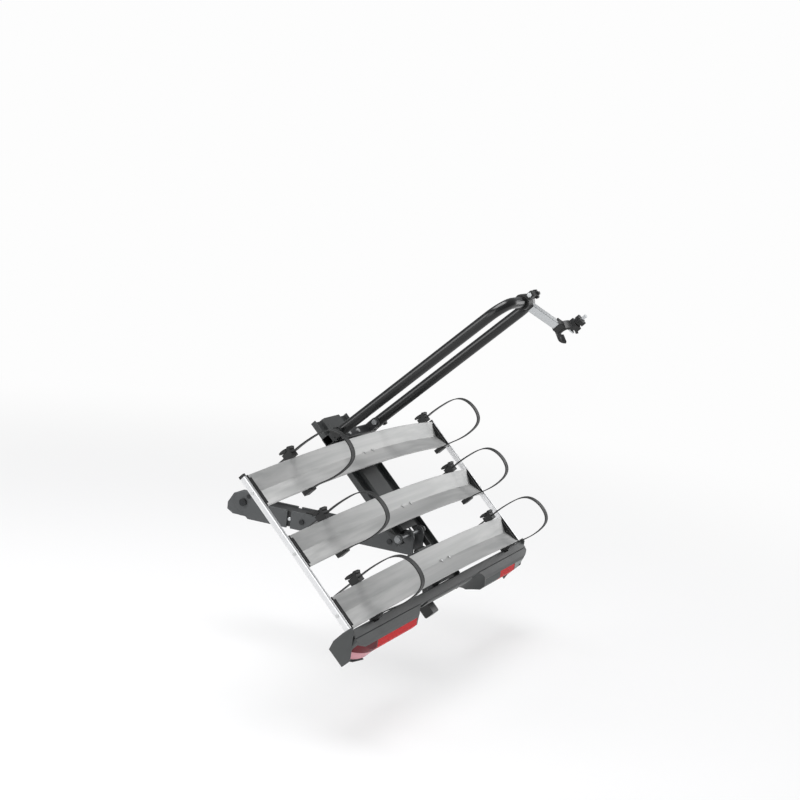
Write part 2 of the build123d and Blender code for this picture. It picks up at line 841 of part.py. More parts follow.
# Screws in the creases and rivets of the saddles' feet
crease_top = crest_up - tray_v + tray_slope * screw_head_radius + 0.1
with BuildPart() as tray_fasteners:
    for front in tray_fronts:
        middle = front - tray_width / 2
        with BuildSketch(deck_level(crease_top)):
            with Locations(*[(x, middle) for x in tray_screw_spots]):
                Circle(screw_head_radius)
        extrude(amount=screw_head)
        with BuildSketch(deck_level(crease_top)):
            with Locations(*[(x, middle) for x in tray_screw_spots]):
                Circle(screw_radius)
        extrude(amount=-tray_screw_depth - 3)
        with BuildSketch(deck_level(crown_top - pan_sheet)):
            with Locations((0, middle)):
                with GridLocations(64, 2 * saddle_flange - 10, 2, 2):
                    Circle(rivet_radius)
        extrude(amount=pan_sheet + saddle_foot)
        with BuildSketch(deck_level(flange_top)):
            with Locations((0, middle)):
                with GridLocations(64, 2 * saddle_flange - 10, 2, 2):
                    Circle(2 * rivet_radius)
        extrude(amount=1.6)

# Bow: bent tube that stands on a crossbar at the pan's front and folds back on two bolts
bow_tilt = radians(bow_lean)
bow_pivot_ahead = bow_at
bow_dir = deck_up * cos(bow_tilt) - deck_ahead * sin(bow_tilt)
bow_side = deck_ahead * cos(bow_tilt) + deck_up * sin(bow_tilt)
bow_origin = deck_point(0, bow_pivot_ahead, bow_pivot_up)
bow_plane = Plane(origin=bow_origin, x_dir=(1, 0, 0), z_dir=Vector(1, 0, 0).cross(bow_dir))
bow_foot = -20.0


def bow_cross(x):
    """Plane across the bow's pivot at x: sketch X ahead of the bow, sketch Y up along it."""
    return Plane(origin=bow_origin + Vector(x, 0, 0), x_dir=bow_side, z_dir=(1, 0, 0))


with BuildPart() as bow:
    with BuildLine(bow_plane) as bow_path:
        FilletPolyline(
            (-bow_half, bow_foot),
            (-bow_half, bow_top_up),
            (bow_half, bow_top_up),
            (bow_half, bow_foot),
            radius=bow_corner_radius,
        )
    with BuildSketch(Plane(origin=bow_path.line @ 0, z_dir=bow_path.line % 0)):
        Circle(bow_tube_radius)
        Circle(bow_tube_radius - bow_tube_wall, mode=Mode.SUBTRACT)
    sweep(path=bow_path.line)
    with BuildSketch(bow_cross(-bow_half - 20)):
        Circle(bow_bolt_radius + running_gap)
    extrude(amount=2 * bow_half + 40, mode=Mode.SUBTRACT)
finish(bow, "bow")

# Crossbar with a fork for each leg of the bow
bracket_inner = bow_tube_radius + 1.0
fork_starts = [
    side * bow_half + offset
    for side in (-1, 1)
    for offset in (-bracket_inner - bow_bracket_plate, bracket_inner)
]
crossbar_half = bow_half + bracket_inner + bow_bracket_plate
crossbar_mid = crown_top + crossbar_width / 2
with BuildPart() as bow_crossbar:
    with BuildSketch(deck_side(-crossbar_half)):
        with Locations((bow_at, crossbar_mid)):
            RectangleRounded(crossbar_width, crossbar_width, 4)
            RectangleRounded(
                crossbar_width - 2 * crossbar_wall, crossbar_width - 2 * crossbar_wall, 2, mode=Mode.SUBTRACT
            )
    extrude(amount=2 * crossbar_half)
    for start in fork_starts:
        with BuildSketch(deck_side(start)):
            with BuildLine():
                Polyline(
                    (bow_at - 14, bow_pivot_up),
                    (bow_at - 14, crown_top + crossbar_width - 2),
                    (bow_at + 14, crown_top + crossbar_width - 2),
                    (bow_at + 14, bow_pivot_up),
                )
                CenterArc((bow_at, bow_pivot_up), 14, 0, 180)
            make_face()
        extrude(amount=bow_bracket_plate)
    with BuildSketch(deck_side(-crossbar_half)):
        with Locations((bow_at, bow_pivot_up)):
            Circle(bow_bolt_radius + running_gap)
    extrude(amount=2 * crossbar_half, mode=Mode.SUBTRACT)
    with BuildSketch(deck_level(crown_top)):
        with Locations(*crossbar_screw_spots):
            Circle(crossbar_screw_radius + running_gap)
    extrude(amount=crossbar_width, mode=Mode.SUBTRACT)
finish(bow_crossbar, "bow_crossbar")

# Bolts of the bow, with flat heads inside and knobs outside
with BuildPart() as bow_bolts:
    for side in (-1, 1):
        with BuildSketch(deck_side(side * (crossbar_half + 13))):
            with Locations((bow_at, bow_pivot_up)):
                Circle(bow_bolt_radius)
        extrude(amount=-side * (2 * bracket_inner + 2 * bow_bracket_plate + 13))
        inner_face = side * (bow_half - bracket_inner - bow_bracket_plate)
        with BuildSketch(deck_side(inner_face)):
            with Locations((bow_at, bow_pivot_up)):
                RegularPolygon(9.0, 6)
        extrude(amount=-side * 6)
finish(bow_bolts, "bow_bolts")

for side, label in ((-1, "bow_knob_left"), (1, "bow_knob_right")):
    with BuildPart() as bow_knob:
        with BuildSketch(deck_side(side * (crossbar_half + 0.3))):
            with Locations((bow_at, bow_pivot_up)):
                Circle(bow_knob_radius - 5)
        extrude(amount=side * 5)
        with BuildSketch(deck_side(side * (crossbar_half + 5.3))):
            with Locations((bow_at, bow_pivot_up)):
                Circle(bow_knob_radius)
                with PolarLocations(bow_knob_radius + 2, 5):
                    Circle(6, mode=Mode.SUBTRACT)
        extrude(amount=side * 13)
        with BuildSketch(deck_side(side * crossbar_half)):
            with Locations((bow_at, bow_pivot_up)):
                Circle(bow_bolt_radius + running_gap)
        extrude(amount=side * 13.3, mode=Mode.SUBTRACT)
    finish(bow_knob, label)

# Bolts of the crossbar down through the pan's crown
with BuildPart() as crossbar_screws:
    with BuildSketch(deck_level(crown_top + crossbar_width)):
        with Locations(*crossbar_screw_spots):
            Circle(7)
    extrude(amount=3.5)
    with BuildSketch(deck_level(crown_top - pan_sheet)):
        with Locations(*crossbar_screw_spots):
            Circle(crossbar_screw_radius)
    extrude(amount=pan_sheet + crossbar_width)

# Holder: clamp on the bow's top, square bar, and a claw for a bicycle's frame
yaw = radians(holder_yaw)
holder_out = Vector(1, 0, 0) * sin(yaw) - deck_ahead * cos(yaw)
holder_across = holder_out.cross(deck_up)
holder_origin = bow_origin + bow_dir * bow_top_up + Vector(holder_at, 0, 0)
holder_start = 28.0
socket_length = 20.0
socket_wall = 3.0
socket_end = 6.0
cope_gap = 1.0
clamp_lug_up = 33.0
clamp_bolt_radius = 4.0
claw_at = holder_start + holder_bar_length + claw_radius + claw_wall
socket_half = holder_bar / 2 + socket_wall
stub_width = holder_bar - 2 * holder_bar_wall - 0.1


def holder_side(across):
    """Upright plane along the holder's bar: sketch X outward from the bow, sketch Y up."""
    return Plane(origin=holder_origin + holder_across * across, x_dir=holder_out, z_dir=holder_across)


def holder_section(out):
    """Plane across the holder's bar: sketch X across, sketch Y up, extrudes outward."""
    return Plane(origin=holder_origin + holder_out * out, x_dir=-holder_across, z_dir=holder_out)


def bow_top_cross(x):
    """Plane across the bow's top tube at x: sketch X ahead, sketch Y above the deck."""
    return Plane(origin=holder_origin + Vector(x, 0, 0), x_dir=deck_ahead, z_dir=(1, 0, 0))


with BuildPart() as holder_clamp:
    with BuildSketch(bow_top_cross(-clamp_width / 2)):
        Circle(bow_tube_radius + clamp_wall)
        with Locations((0, bow_tube_radius + 13)):
            Rectangle(18, 26)
    extrude(amount=clamp_width)
    with BuildSketch(holder_section(12)):
        RectangleRounded(holder_bar, holder_bar, 2.5)
    extrude(amount=holder_start - 12)
    with BuildSketch(holder_section(holder_start)):
        Rectangle(stub_width, stub_width)
    extrude(amount=socket_length)
    # The block that carries the bar is coped wider than the clamp's own bore
    with BuildSketch(bow_top_cross(clamp_width / 2)):
        Circle(bow_tube_radius + cope_gap)
    extrude(amount=80, mode=Mode.SUBTRACT)
    with BuildSketch(bow_top_cross(-clamp_width / 2)):
        Circle(bow_tube_radius + running_gap)
    extrude(amount=clamp_width, mode=Mode.SUBTRACT)
    with BuildSketch(bow_top_cross(-clamp_width / 2)):
        with Locations((0, clamp_lug_up)):
            Circle(clamp_bolt_radius + running_gap)
    extrude(amount=clamp_width, mode=Mode.SUBTRACT)
finish(holder_clamp, "holder_clamp")

with BuildPart() as clamp_bolt:
    with BuildSketch(bow_top_cross(-clamp_width / 2)):
        with Locations((0, clamp_lug_up)):
            Circle(clamp_bolt_radius)
    extrude(amount=clamp_width + 14)
    with BuildSketch(bow_top_cross(-clamp_width / 2)):
        with Locations((0, clamp_lug_up)):
            RegularPolygon(7.5, 6)
    extrude(amount=-5)
finish(clamp_bolt, "clamp_bolt")

with BuildPart() as clamp_knob:
    with BuildSketch(bow_top_cross(clamp_width / 2 + 0.3)):
        with Locations((0, clamp_lug_up)):
            Circle(knob_radius - 6)
            Circle(clamp_bolt_radius + running_gap, mode=Mode.SUBTRACT)
    extrude(amount=4)
    with BuildSketch(bow_top_cross(clamp_width / 2 + 4.3)):
        with Locations((0, clamp_lug_up)):
            Circle(knob_radius - 3)
            with PolarLocations(knob_radius - 1, 5):
                Circle(5, mode=Mode.SUBTRACT)
            Circle(clamp_bolt_radius + running_gap, mode=Mode.SUBTRACT)
    extrude(amount=12)
finish(clamp_knob, "clamp_knob")

with BuildPart() as holder_bar_part:
    with BuildSketch(holder_section(holder_start)):
        RectangleRounded(holder_bar, holder_bar, 2.5)
        Rectangle(holder_bar - 2 * holder_bar_wall, holder_bar - 2 * holder_bar_wall, mode=Mode.SUBTRACT)
    extrude(amount=holder_bar_length)
    # The bar's near end is coped round the bow's tube
    with BuildSketch(bow_top_cross(-80)):
        Circle(bow_tube_radius + cope_gap)
    extrude(amount=160, mode=Mode.SUBTRACT)
finish(holder_bar_part, "holder_bar")

claw_outer = claw_radius + claw_wall
claw_boss = claw_outer + 10
claw_mouth = 50.0
with BuildPart() as claw:
    with BuildSketch(holder_side(-claw_width / 2)):
        with Locations((claw_at, 0)):
            Circle(claw_outer)
            Circle(claw_radius, mode=Mode.SUBTRACT)
        with BuildLine():
            Polyline(
                (claw_at, 0),
                (claw_at + 60, 60 * tan(radians(claw_mouth))),
                (claw_at + 60, -60 * tan(radians(claw_mouth))),
                close=True,
            )
        make_face(mode=Mode.SUBTRACT)
        with Locations((claw_at, (claw_radius + claw_boss) / 2 + 2)):
            Rectangle(26, claw_boss - claw_radius - 4)
    extrude(amount=claw_width)
    with BuildSketch(holder_section(holder_start + holder_bar_length - socket_length)):
        Rectangle(2 * socket_half, 2 * socket_half)
    extrude(amount=socket_length + socket_end)
    with BuildSketch(holder_section(holder_start + holder_bar_length - socket_length)):
        Rectangle(holder_bar + 0.1, holder_bar + 0.1)
    extrude(amount=socket_length, mode=Mode.SUBTRACT)
    with BuildSketch(Plane(
        origin=holder_origin + holder_out * claw_at, x_dir=holder_out, z_dir=deck_up
    )):
        Circle(claw_screw_radius + running_gap)
    extrude(amount=80, mode=Mode.SUBTRACT)
finish(claw, "claw")

claw_base = Plane(origin=holder_origin + holder_out * claw_at, x_dir=holder_out, z_dir=deck_up)
with BuildPart() as claw_screw:
    with BuildSketch(claw_base.offset(claw_radius - 7)):
        Circle(claw_screw_radius)
    extrude(amount=claw_boss - claw_radius + 7 + 22 + claw_travel)
    with BuildSketch(claw_base.offset(claw_radius - 7)):
        RectangleRounded(24, claw_width - 4, 4)
    extrude(amount=-4)
finish(claw_screw, "claw_screw")

with BuildPart() as claw_knob:
    with BuildSketch(claw_base.offset(claw_boss + 0.3)):
        Circle(knob_radius - 5)
        Circle(claw_screw_radius + running_gap, mode=Mode.SUBTRACT)
    extrude(amount=5)
    with BuildSketch(claw_base.offset(claw_boss + 5.3)):
        Circle(knob_radius)
        with PolarLocations(knob_radius + 2, 5):
            Circle(6, mode=Mode.SUBTRACT)
        Circle(claw_screw_radius + running_gap, mode=Mode.SUBTRACT)
    extrude(amount=14)
finish(claw_knob, "claw_knob")

# Wheel straps: six toothed bands bowed over the wheels, each held by an anchor and a buckle
strap_path = [(-104.0, 4.0), (-113.0, 50.0), (-121.0, 112.0), (-108.0, 158.0)]
strap_path += [(-62.0, 172.0), (-14.0, 152.0), (7.0, 92.0), (11.5, 30.0)]
strap_tail = -92.0
strap_foot = -26.0
buckle_block = 21.0
lever_hub = (27.0, 13.0)
lever_hub_radius = 5.0
buckle_pin_radius = 2.5


def strap_outline(front, x, thickness):
    """Side view of a strap, drawn as a path of the given thickness."""
    up = rim_up(x)
    with BuildSketch() as band:
        with BuildLine():
            Line((front - 104, up + strap_foot), (front - 104, up + 4))
            Spline(
                *[(front + ahead, up + height) for ahead, height in strap_path],
                tangents=((0, 1), (0, -1)),
            )
            Line((front + 11.5, up + 30), (front + 11.5, up + strap_tail))
        trace(line_width=thickness)
    return band.sketch


strap_spots = []
for index, front in enumerate(tray_fronts):
    for side, x in zip(("left", "right"), strap_offsets[index]):
        strap_spots.append((front, x, f"{index + 1}_{side}"))

for front, x, name in strap_spots:
    with BuildPart() as strap:
        band = deck_side(x - strap_width / 2).location * strap_outline(front, x, strap_thickness)
        extrude(band, amount=strap_width)
    finish(strap, f"strap_{name}")

with BuildPart() as strap_buckles:
    for front, x, name in strap_spots:
        up = rim_up(x)
        with BuildSketch(deck_side(x - buckle_width / 2)):
            with BuildLine():
                Polyline(
                    (front, up + 14),
                    (front, up - 9),
                    (front - 5, up - 9),
                    (front - 5, up - 16),
                    (front + buckle_block, up - 16),
                    (front + buckle_block, up + 14),
                    close=True,
                )
            make_face()
        extrude(amount=buckle_width)
        for start in (x - buckle_width / 2, x + buckle_width / 2 - 3.6):
            with BuildSketch(deck_side(start)):
                with BuildLine():
                    Polyline(
                        (front + buckle_block - 1, up + 5),
                        (front + lever_hub[0], up + 6),
                        (front + lever_hub[0] + 5, up + lever_hub[1]),
                        (front + lever_hub[0], up + lever_hub[1] + 6),
                        (front + buckle_block - 1, up + 14),
                        close=True,
                    )
                make_face()
                with Locations((front + lever_hub[0], up + lever_hub[1])):
                    Circle(buckle_pin_radius + running_gap, mode=Mode.SUBTRACT)
            extrude(amount=3.6)
        slot = deck_side(x - strap_width / 2 - 0.3).location * strap_outline(front, x, strap_thickness + 0.6)
        extrude(slot, amount=strap_width + 0.6, mode=Mode.SUBTRACT)

with BuildPart() as strap_anchors:
    for front, x, name in strap_spots:
        up = rim_up(x)
        rear = front - tray_width
        with BuildSketch(deck_side(x - buckle_width / 2)):
            with BuildLine():
                Polyline(
                    (rear, up),
                    (rear - 8, up),
                    (rear - 9, up - 4),
                    (rear - 9, up - 30),
                    (rear + 5, up - 30),
                    (rear + 5, up - 9),
                    (rear, up - 9),
                    close=True,
                )
            make_face()
        extrude(amount=buckle_width)
        slot = deck_side(x - strap_width / 2 - 0.3).location * strap_outline(front, x, strap_thickness + 0.6)
        extrude(slot, amount=strap_width + 0.6, mode=Mode.SUBTRACT)
finish_group("strap_clips", [strap_buckles.part, strap_anchors.part])

for front, x, name in strap_spots:
    up = rim_up(x)
    hub_half = buckle_width / 2 - 4.0
    with BuildPart() as buckle_lever:
        with BuildSketch(deck_side(x - hub_half)):
            with Locations((front + lever_hub[0], up + lever_hub[1])):
                Circle(lever_hub_radius)
            with Locations((front + lever_hub[0] + 1, up + lever_hub[1] - 9)):
                Rectangle(5, 18)
        extrude(amount=2 * hub_half)
        with BuildSketch(deck_side(x - buckle_width / 2)):
            with BuildLine():
                Polyline(
                    (front + lever_hub[0] - 4.5, up + 4),
                    (front + lever_hub[0] + 4, up + 4),
                    (front + lever_hub[0] + 5.5, up - 10),
                    (front + lever_hub[0] + 4, up - 20),
                    (front + lever_hub[0] - 1, up - 21),
                    (front + lever_hub[0] - 4.5, up - 12),
                    close=True,
                )
            make_face()
        extrude(amount=buckle_width)
        with BuildSketch(deck_side(x - buckle_width / 2)):
            with Locations((front + lever_hub[0], up + lever_hub[1])):
                Circle(buckle_pin_radius)
        extrude(amount=buckle_width)
    finish(buckle_lever, f"buckle_lever_{name}")

# Light board: an open channel behind the trays, with a lamp housing at each end
board_half = deck_half + board_over
lamp_end = board_half + 1.0
lamp_bend = board_half - lamp_round_end
lens_split = lamp_bend - lens_divider / 2
lens_end = lamp_end - lens_end_margin
board_front = pan_rear
board_rear = board_front - board_depth
board_top = rail_top
board_bottom = board_top - board_height
with BuildPart() as light_board:
    with BuildSketch(deck_side(-board_half)):
        with BuildLine():
            Polyline(
                (board_front, board_bottom),
                (board_front, board_top - 3),
                (board_front - 3, board_top),
                (board_rear + 3, board_top),
                (board_rear, board_top - 3),
                (board_rear, board_bottom),
                close=True,
            )
        make_face()
        with Locations(((board_front + board_rear) / 2, board_bottom + (board_height - board_wall) / 2)):
            Rectangle(board_depth - 2 * board_wall, board_height - board_wall, mode=Mode.SUBTRACT)
    extrude(amount=2 * board_half)
    with BuildSketch(deck_cross(board_front - board_wall / 2)):
        with Locations(*[(x, board_top - board_height / 2) for x in (-560, -400, -230, 0, 230, 400, 560)]):
            Rectangle(board_wall, board_height - 2)
    extrude(amount=board_depth - board_wall)
    with BuildSketch(deck_cross(board_front)):
        with Locations(*board_screw_spots):
            Circle(screw_radius + running_gap)
    extrude(amount=board_wall, mode=Mode.SUBTRACT)
    # Notches in front that leave room for the last tray's strap anchors
    with BuildSketch(deck_level(board_top)):
        with Locations(*[(x, board_front) for x in strap_offsets[-1]]):
            Rectangle(buckle_width + 5, 2 * anchor_notch)
    extrude(amount=-board_height, mode=Mode.SUBTRACT)
finish(light_board, "light_board")

# Brackets and screws that carry the board under the pan's rear end
floor_under = pan_floor - pan_sheet
with BuildPart() as board_brackets:
    for x in (-board_bracket_at, board_bracket_at):
        with BuildSketch(deck_side(x - 14)):
            with BuildLine():
                Polyline(
                    (pan_rear, floor_under),
                    (pan_rear + 34, floor_under),
                    (pan_rear + 34, floor_under - 3),
                    (pan_rear + 3, floor_under - 3),
                    (pan_rear + 3, board_bottom),
                    (pan_rear, board_bottom),
                    close=True,
                )
            make_face()
        extrude(amount=28)
    with BuildSketch(deck_cross(board_front + 3)):
        with Locations(*board_screw_spots):
            Circle(screw_radius + running_gap)
    extrude(amount=3, mode=Mode.SUBTRACT)
    with BuildSketch(deck_level(floor_under)):
        with Locations(*[(x, pan_rear + 20) for x in (-board_bracket_at, board_bracket_at)]):
            Circle(screw_radius + running_gap)
    extrude(amount=-3, mode=Mode.SUBTRACT)

with BuildPart() as board_screws:
    with BuildSketch(deck_cross(board_front + 3)):
        with Locations(*board_screw_spots):
            Circle(screw_head_radius)
    extrude(amount=-screw_head)
    with BuildSketch(deck_cross(board_front + 3)):
        with Locations(*board_screw_spots):
            Circle(screw_radius)
    extrude(amount=3 + board_wall + 3)
    with BuildSketch(deck_level(pan_floor)):
        with Locations(*[(x, pan_rear + 20) for x in (-board_bracket_at, board_bracket_at)]):
            Circle(screw_head_radius)
    extrude(amount=screw_head)
    with BuildSketch(deck_level(pan_floor)):
        with Locations(*[(x, pan_rear + 20) for x in (-board_bracket_at, board_bracket_at)]):
            Circle(screw_radius)
    extrude(amount=-pan_sheet - 3)


def lamp_blank(side, inset, bottom_inset):
    """Solid of a lamp, its rear and outer faces set in: a side section cut by a plan outline."""
    rear = board_rear - lamp_back + inset
    with BuildPart() as blank:
        with BuildSketch(deck_side(side * lamp_start)):
            with BuildLine():
                Polyline(
                    (board_rear - 0.1, board_top - 1 - inset),
                    (board_rear - 20 + inset, board_top - 6 - inset),
                    (rear, board_top - 30),
                    (rear, board_top - lamp_height + 8),
                    (rear + 7, board_top - lamp_height + bottom_inset),
                    (board_front - 4, board_top - lamp_height + bottom_inset),
                    (board_front, board_top - lamp_height + 22),
                    (board_front, board_bottom - 0.2),
                    (board_rear - 0.1, board_bottom - 0.2),
                    close=True,
                )
            make_face()
        extrude(amount=side * (lamp_end - lamp_start))
        with BuildSketch(deck_level(board_top)):
            with BuildLine():
                Line((side * (lamp_start + 1), board_front + 1), (side * (lamp_start + 1), board_rear))
                ThreePointArc(
                    (side * (lamp_start + 1), board_rear),
                    (side * (lamp_start + 52), board_rear - 14),
                    (side * (lamp_start + 67), rear - 1),
                )
                Line((side * (lamp_start + 67), rear - 1), (side * lamp_bend, rear - 1))
                Line((side * lamp_bend, rear - 1), (side * lamp_bend, rear))
                Spline(
                    (side * lamp_bend, rear),
                    (side * (lamp_bend + lamp_end) / 2, rear + 9),
                    (side * lamp_end, rear + 34),
                    tangents=((side, 0), (side * 0.9, 0.5)),
                )
                Line((side * lamp_end, rear + 34), (side * lamp_end, board_front + 1))
                Line((side * lamp_end, board_front + 1), (side * (lamp_start + 1), board_front + 1))
            make_face()
        extrude(amount=-2 * lamp_height, mode=Mode.INTERSECT)
        # The rear face below the red lens slants back in under it
        with BuildSketch(deck_side(side * (lamp_start - 1))):
            with BuildLine():
                Polyline(
                    (rear - 2, board_top - lamp_tuck_start),
                    (rear, board_top - lamp_tuck_start),
                    (rear + lamp_tuck, board_top - lamp_height - 1),
                    (rear - 2, board_top - lamp_height - 1),
                    close=True,
                )
            make_face()
        extrude(amount=side * (lamp_bend - lamp_start + 1), mode=Mode.SUBTRACT)
    return blank.part


def lamp_zone(side, start, end, margin, front_edge):
    """Block behind a front edge: the window of one lens, or the hollow behind it."""
    with BuildPart() as zone:
        with BuildSketch(deck_side(side * (start + margin))):
            with Locations((board_rear - front_edge - 50, board_top - lamp_height / 2 - 3)):
                Rectangle(100, lamp_height - 22 - 2 * margin)
        extrude(amount=side * (end - start - 2 * margin))
    return zone.part


lens_zones = ((lens_start, lens_split), (lens_split + lens_divider, lens_end))
lens_parts = {"red": [], "clear": []}
housing_parts = []
for side in (-1, 1):
    whole = lamp_blank(side, 0, 0)
    core = lamp_blank(side, lens_wall, 0)
    housing = whole
    for colour, (start, end) in zip(("red", "clear"), lens_zones):
        zone = lamp_zone(side, start, end, 0, lens_front)
        shell = (whole & zone) - core
        lens_parts[colour].append(shell)
        housing = housing - shell
        housing = housing - (core & lamp_zone(side, start, end, 4, lens_wall))
    with BuildPart() as hollow:
        with BuildSketch(deck_side(side * (lamp_start + 6))):
            with Locations(((board_front + board_rear) / 2 - 2, board_top - board_height / 2 - lamp_height / 2)):
                Rectangle(board_depth - 10, lamp_height - board_height - 8)
        extrude(amount=side * (lamp_end - lamp_start - 10))
    housing = housing - hollow.part
    # Thin lip along the bottom edge, under the clear lens
    lip_edge = board_rear - lamp_back
    with BuildPart() as bottom_lip:
        with BuildSketch(deck_level(board_top - lamp_height)):
            with BuildLine():
                Polyline(
                    (side * (lamp_bend + 6), lip_edge - 4),
                    (side * (lamp_bend + 58), lip_edge + 4),
                    (side * (lamp_end - 1), lip_edge + 29),
                    (side * (lamp_end - 1), lip_edge + 44),
                    (side * (lamp_bend + 6), lip_edge + 20),
                    close=True,
                )
            make_face()
        extrude(amount=lamp_lip)
    housing = housing + bottom_lip.part
    with BuildPart() as end_plate:
        with BuildSketch(deck_side(side * lamp_end)):
            with BuildLine():
                Polyline(
                    (board_front + 4, board_top + 9),
                    (board_front + 7, board_top - 20),
                    (board_front + 6, board_top - 58),
                    (board_front - 4, board_top - lamp_height),
                    (board_rear - 35, board_top - lamp_height + 1),
                    (board_rear - 36, board_top - 54),
                    (board_front - 8, board_top + 9),
                    close=True,
                )
            make_face()
        extrude(amount=side * lamp_end_plate)
    housing_parts.append(housing + end_plate.part)

finish_group("lamp_housings", housing_parts)
finish_group("red_lenses", lens_parts["red"])
finish_group("clear_lenses", lens_parts["clear"])

deck_screws = [tray_fasteners.part, rail_screws.part, crossbar_screws.part, board_screws.part]
finish_group("deck_screws", deck_screws)

# Number plate rail on the board's rear face
with BuildPart() as plate_rail:
    with BuildSketch(deck_cross(board_rear)):
        with Locations((0, board_top - board_height / 2)):
            RectangleRounded(plate_rail_width, plate_rail_height, 3)
    extrude(amount=plate_rail_depth)
finish(plate_rail, "plate_rail")

# Tilt release: foot pedal on a cross shaft, its rod, and the hook that catches the latch pin
shaft_half = pedal_bracket_half + pedal_bracket_plate
pedal_shaft = (pedal_pivot_ahead, pedal_pivot_up)
rod_x = hook_at + hook_plate + 0.3
with BuildPart() as pedal_bracket:
    for start in (-shaft_half, pedal_bracket_half):
        with BuildSketch(deck_side(start)):
            with BuildLine():
                Polyline(
                    (pedal_pivot_ahead - 14, pedal_pivot_up),
                    (pedal_pivot_ahead - 22, floor_under),
                    (pedal_pivot_ahead + 30, floor_under),
                    (pedal_pivot_ahead + 14, pedal_pivot_up),
                )
                CenterArc(pedal_shaft, 14, 180, 180)
            make_face()
        extrude(amount=pedal_bracket_plate)
    with BuildSketch(deck_side(-shaft_half)):
        with Locations(pedal_shaft):
            Circle(pedal_shaft_radius + running_gap)
    extrude(amount=2 * shaft_half, mode=Mode.SUBTRACT)
finish_group("pan_brackets", [board_brackets.part, pedal_bracket.part])

rod_travel = (hook_pivot_up - rod_up) * tan(radians(hook_open))
pedal_travel = degrees(atan2(rod_travel, rod_up - pedal_pivot_up))
pedal_arm_length = (rod_up - pedal_pivot_up) / cos(radians(pedal_travel))
hook_arm_length = (hook_pivot_up - rod_up) / cos(radians(hook_open))
pedal_arm_up = Vector(0, 0, 0) + deck_up * cos(radians(pedal_travel)) - deck_ahead * sin(radians(pedal_travel))


def pedal_arm_side(x):
    """Plane along the pedal's upright arm: sketch Y runs from the shaft to the pull rod."""
    return Plane(
        origin=deck_point(x, pedal_pivot_ahead, pedal_pivot_up),
        x_dir=pedal_arm_up.cross(Vector(1, 0, 0)),
        z_dir=(1, 0, 0),
    )


with BuildPart() as release_pedal:
    with BuildSketch(deck_side(-shaft_half - 2)):
        with Locations(pedal_shaft):
            Circle(pedal_shaft_radius)
    extrude(amount=2 * shaft_half + 4)
    # Foot plate of the pedal, on an arm that passes under the light board
    with BuildSketch(deck_side(-10)):
        with BuildLine():
            Polyline(
                (pedal_pivot_ahead + 9, pedal_pivot_up - 4),
                (pedal_pivot_ahead + 5, pedal_pivot_up + 9),
                (pedal_pivot_ahead - 10, pedal_pivot_up + 6),
                (pedal_rear + pedal_depth, pedal_top - 8),
                (pedal_rear + 6, pedal_top - 8),
                (pedal_rear + 6, pedal_top - 18),
                (pedal_rear + pedal_depth, pedal_top - 18),
                close=True,
            )
        make_face()
    extrude(amount=20)
    with BuildSketch(pedal_arm_side(rod_x - pedal_arm - 0.3)):
        with BuildLine():
            Polyline(
                (-9, 0),
                (9, 0),
                (8, pedal_arm_length + 8),
                (-8, pedal_arm_length + 8),
                close=True,
            )
        make_face()
        with Locations((0, pedal_arm_length - 0.5)):
            SlotOverall(
                2 * (rod_pin_radius + rod_slot_play) + 4,
                2 * (rod_pin_radius + rod_slot_play),
                rotation=90,
                mode=Mode.SUBTRACT,
            )
    extrude(amount=pedal_arm)
finish(release_pedal, "release_pedal")

with BuildPart() as pedal_cap:
    with BuildSketch(deck_side(-pedal_width / 2)):
        with Locations((pedal_rear + pedal_depth / 2, pedal_top - pedal_height / 2)):
            RectangleRounded(pedal_depth, pedal_height, 6)
    extrude(amount=pedal_width)
    with BuildSketch(deck_side(-10.05)):
        with BuildLine():
            Polyline(
                (pedal_rear + 5.9, pedal_top - 18.1),
                (pedal_rear + 5.9, pedal_top - 7.9),
                (pedal_rear + pedal_depth - 0.1, pedal_top - 7.9),
                (pedal_rear + pedal_depth + 20, pedal_top + 14),
                (pedal_rear + pedal_depth + 20, pedal_top - 18.1),
                close=True,
            )
        make_face()
    extrude(amount=20.1, mode=Mode.SUBTRACT)
finish(pedal_cap, "pedal_cap")

# Pull rod: straight bar with cross pins that sit in the slots of the pedal's arm and of the hook
hook_pivot = (latch_spot[0] - hook_pivot_back, hook_pivot_up)
rod_front = hook_pivot[0] - rod_travel
rod_rear = pedal_pivot_ahead - rod_travel
with BuildPart() as pull_rod:
    with BuildSketch(deck_cross(rod_front)):
        with Locations((rod_x + rod_pin_radius, rod_up)):
            Circle(rod_radius)
    extrude(amount=rod_front - rod_rear)
    for ahead, reach in ((rod_rear, pedal_arm + 2), (rod_front, hook_plate + 2)):
        with BuildSketch(deck_side(rod_x + 2 * rod_pin_radius)):
            with Locations((ahead, rod_up)):
                Circle(rod_pin_radius)
        extrude(amount=-reach - 2 * rod_pin_radius)
finish(pull_rod, "pull_rod")

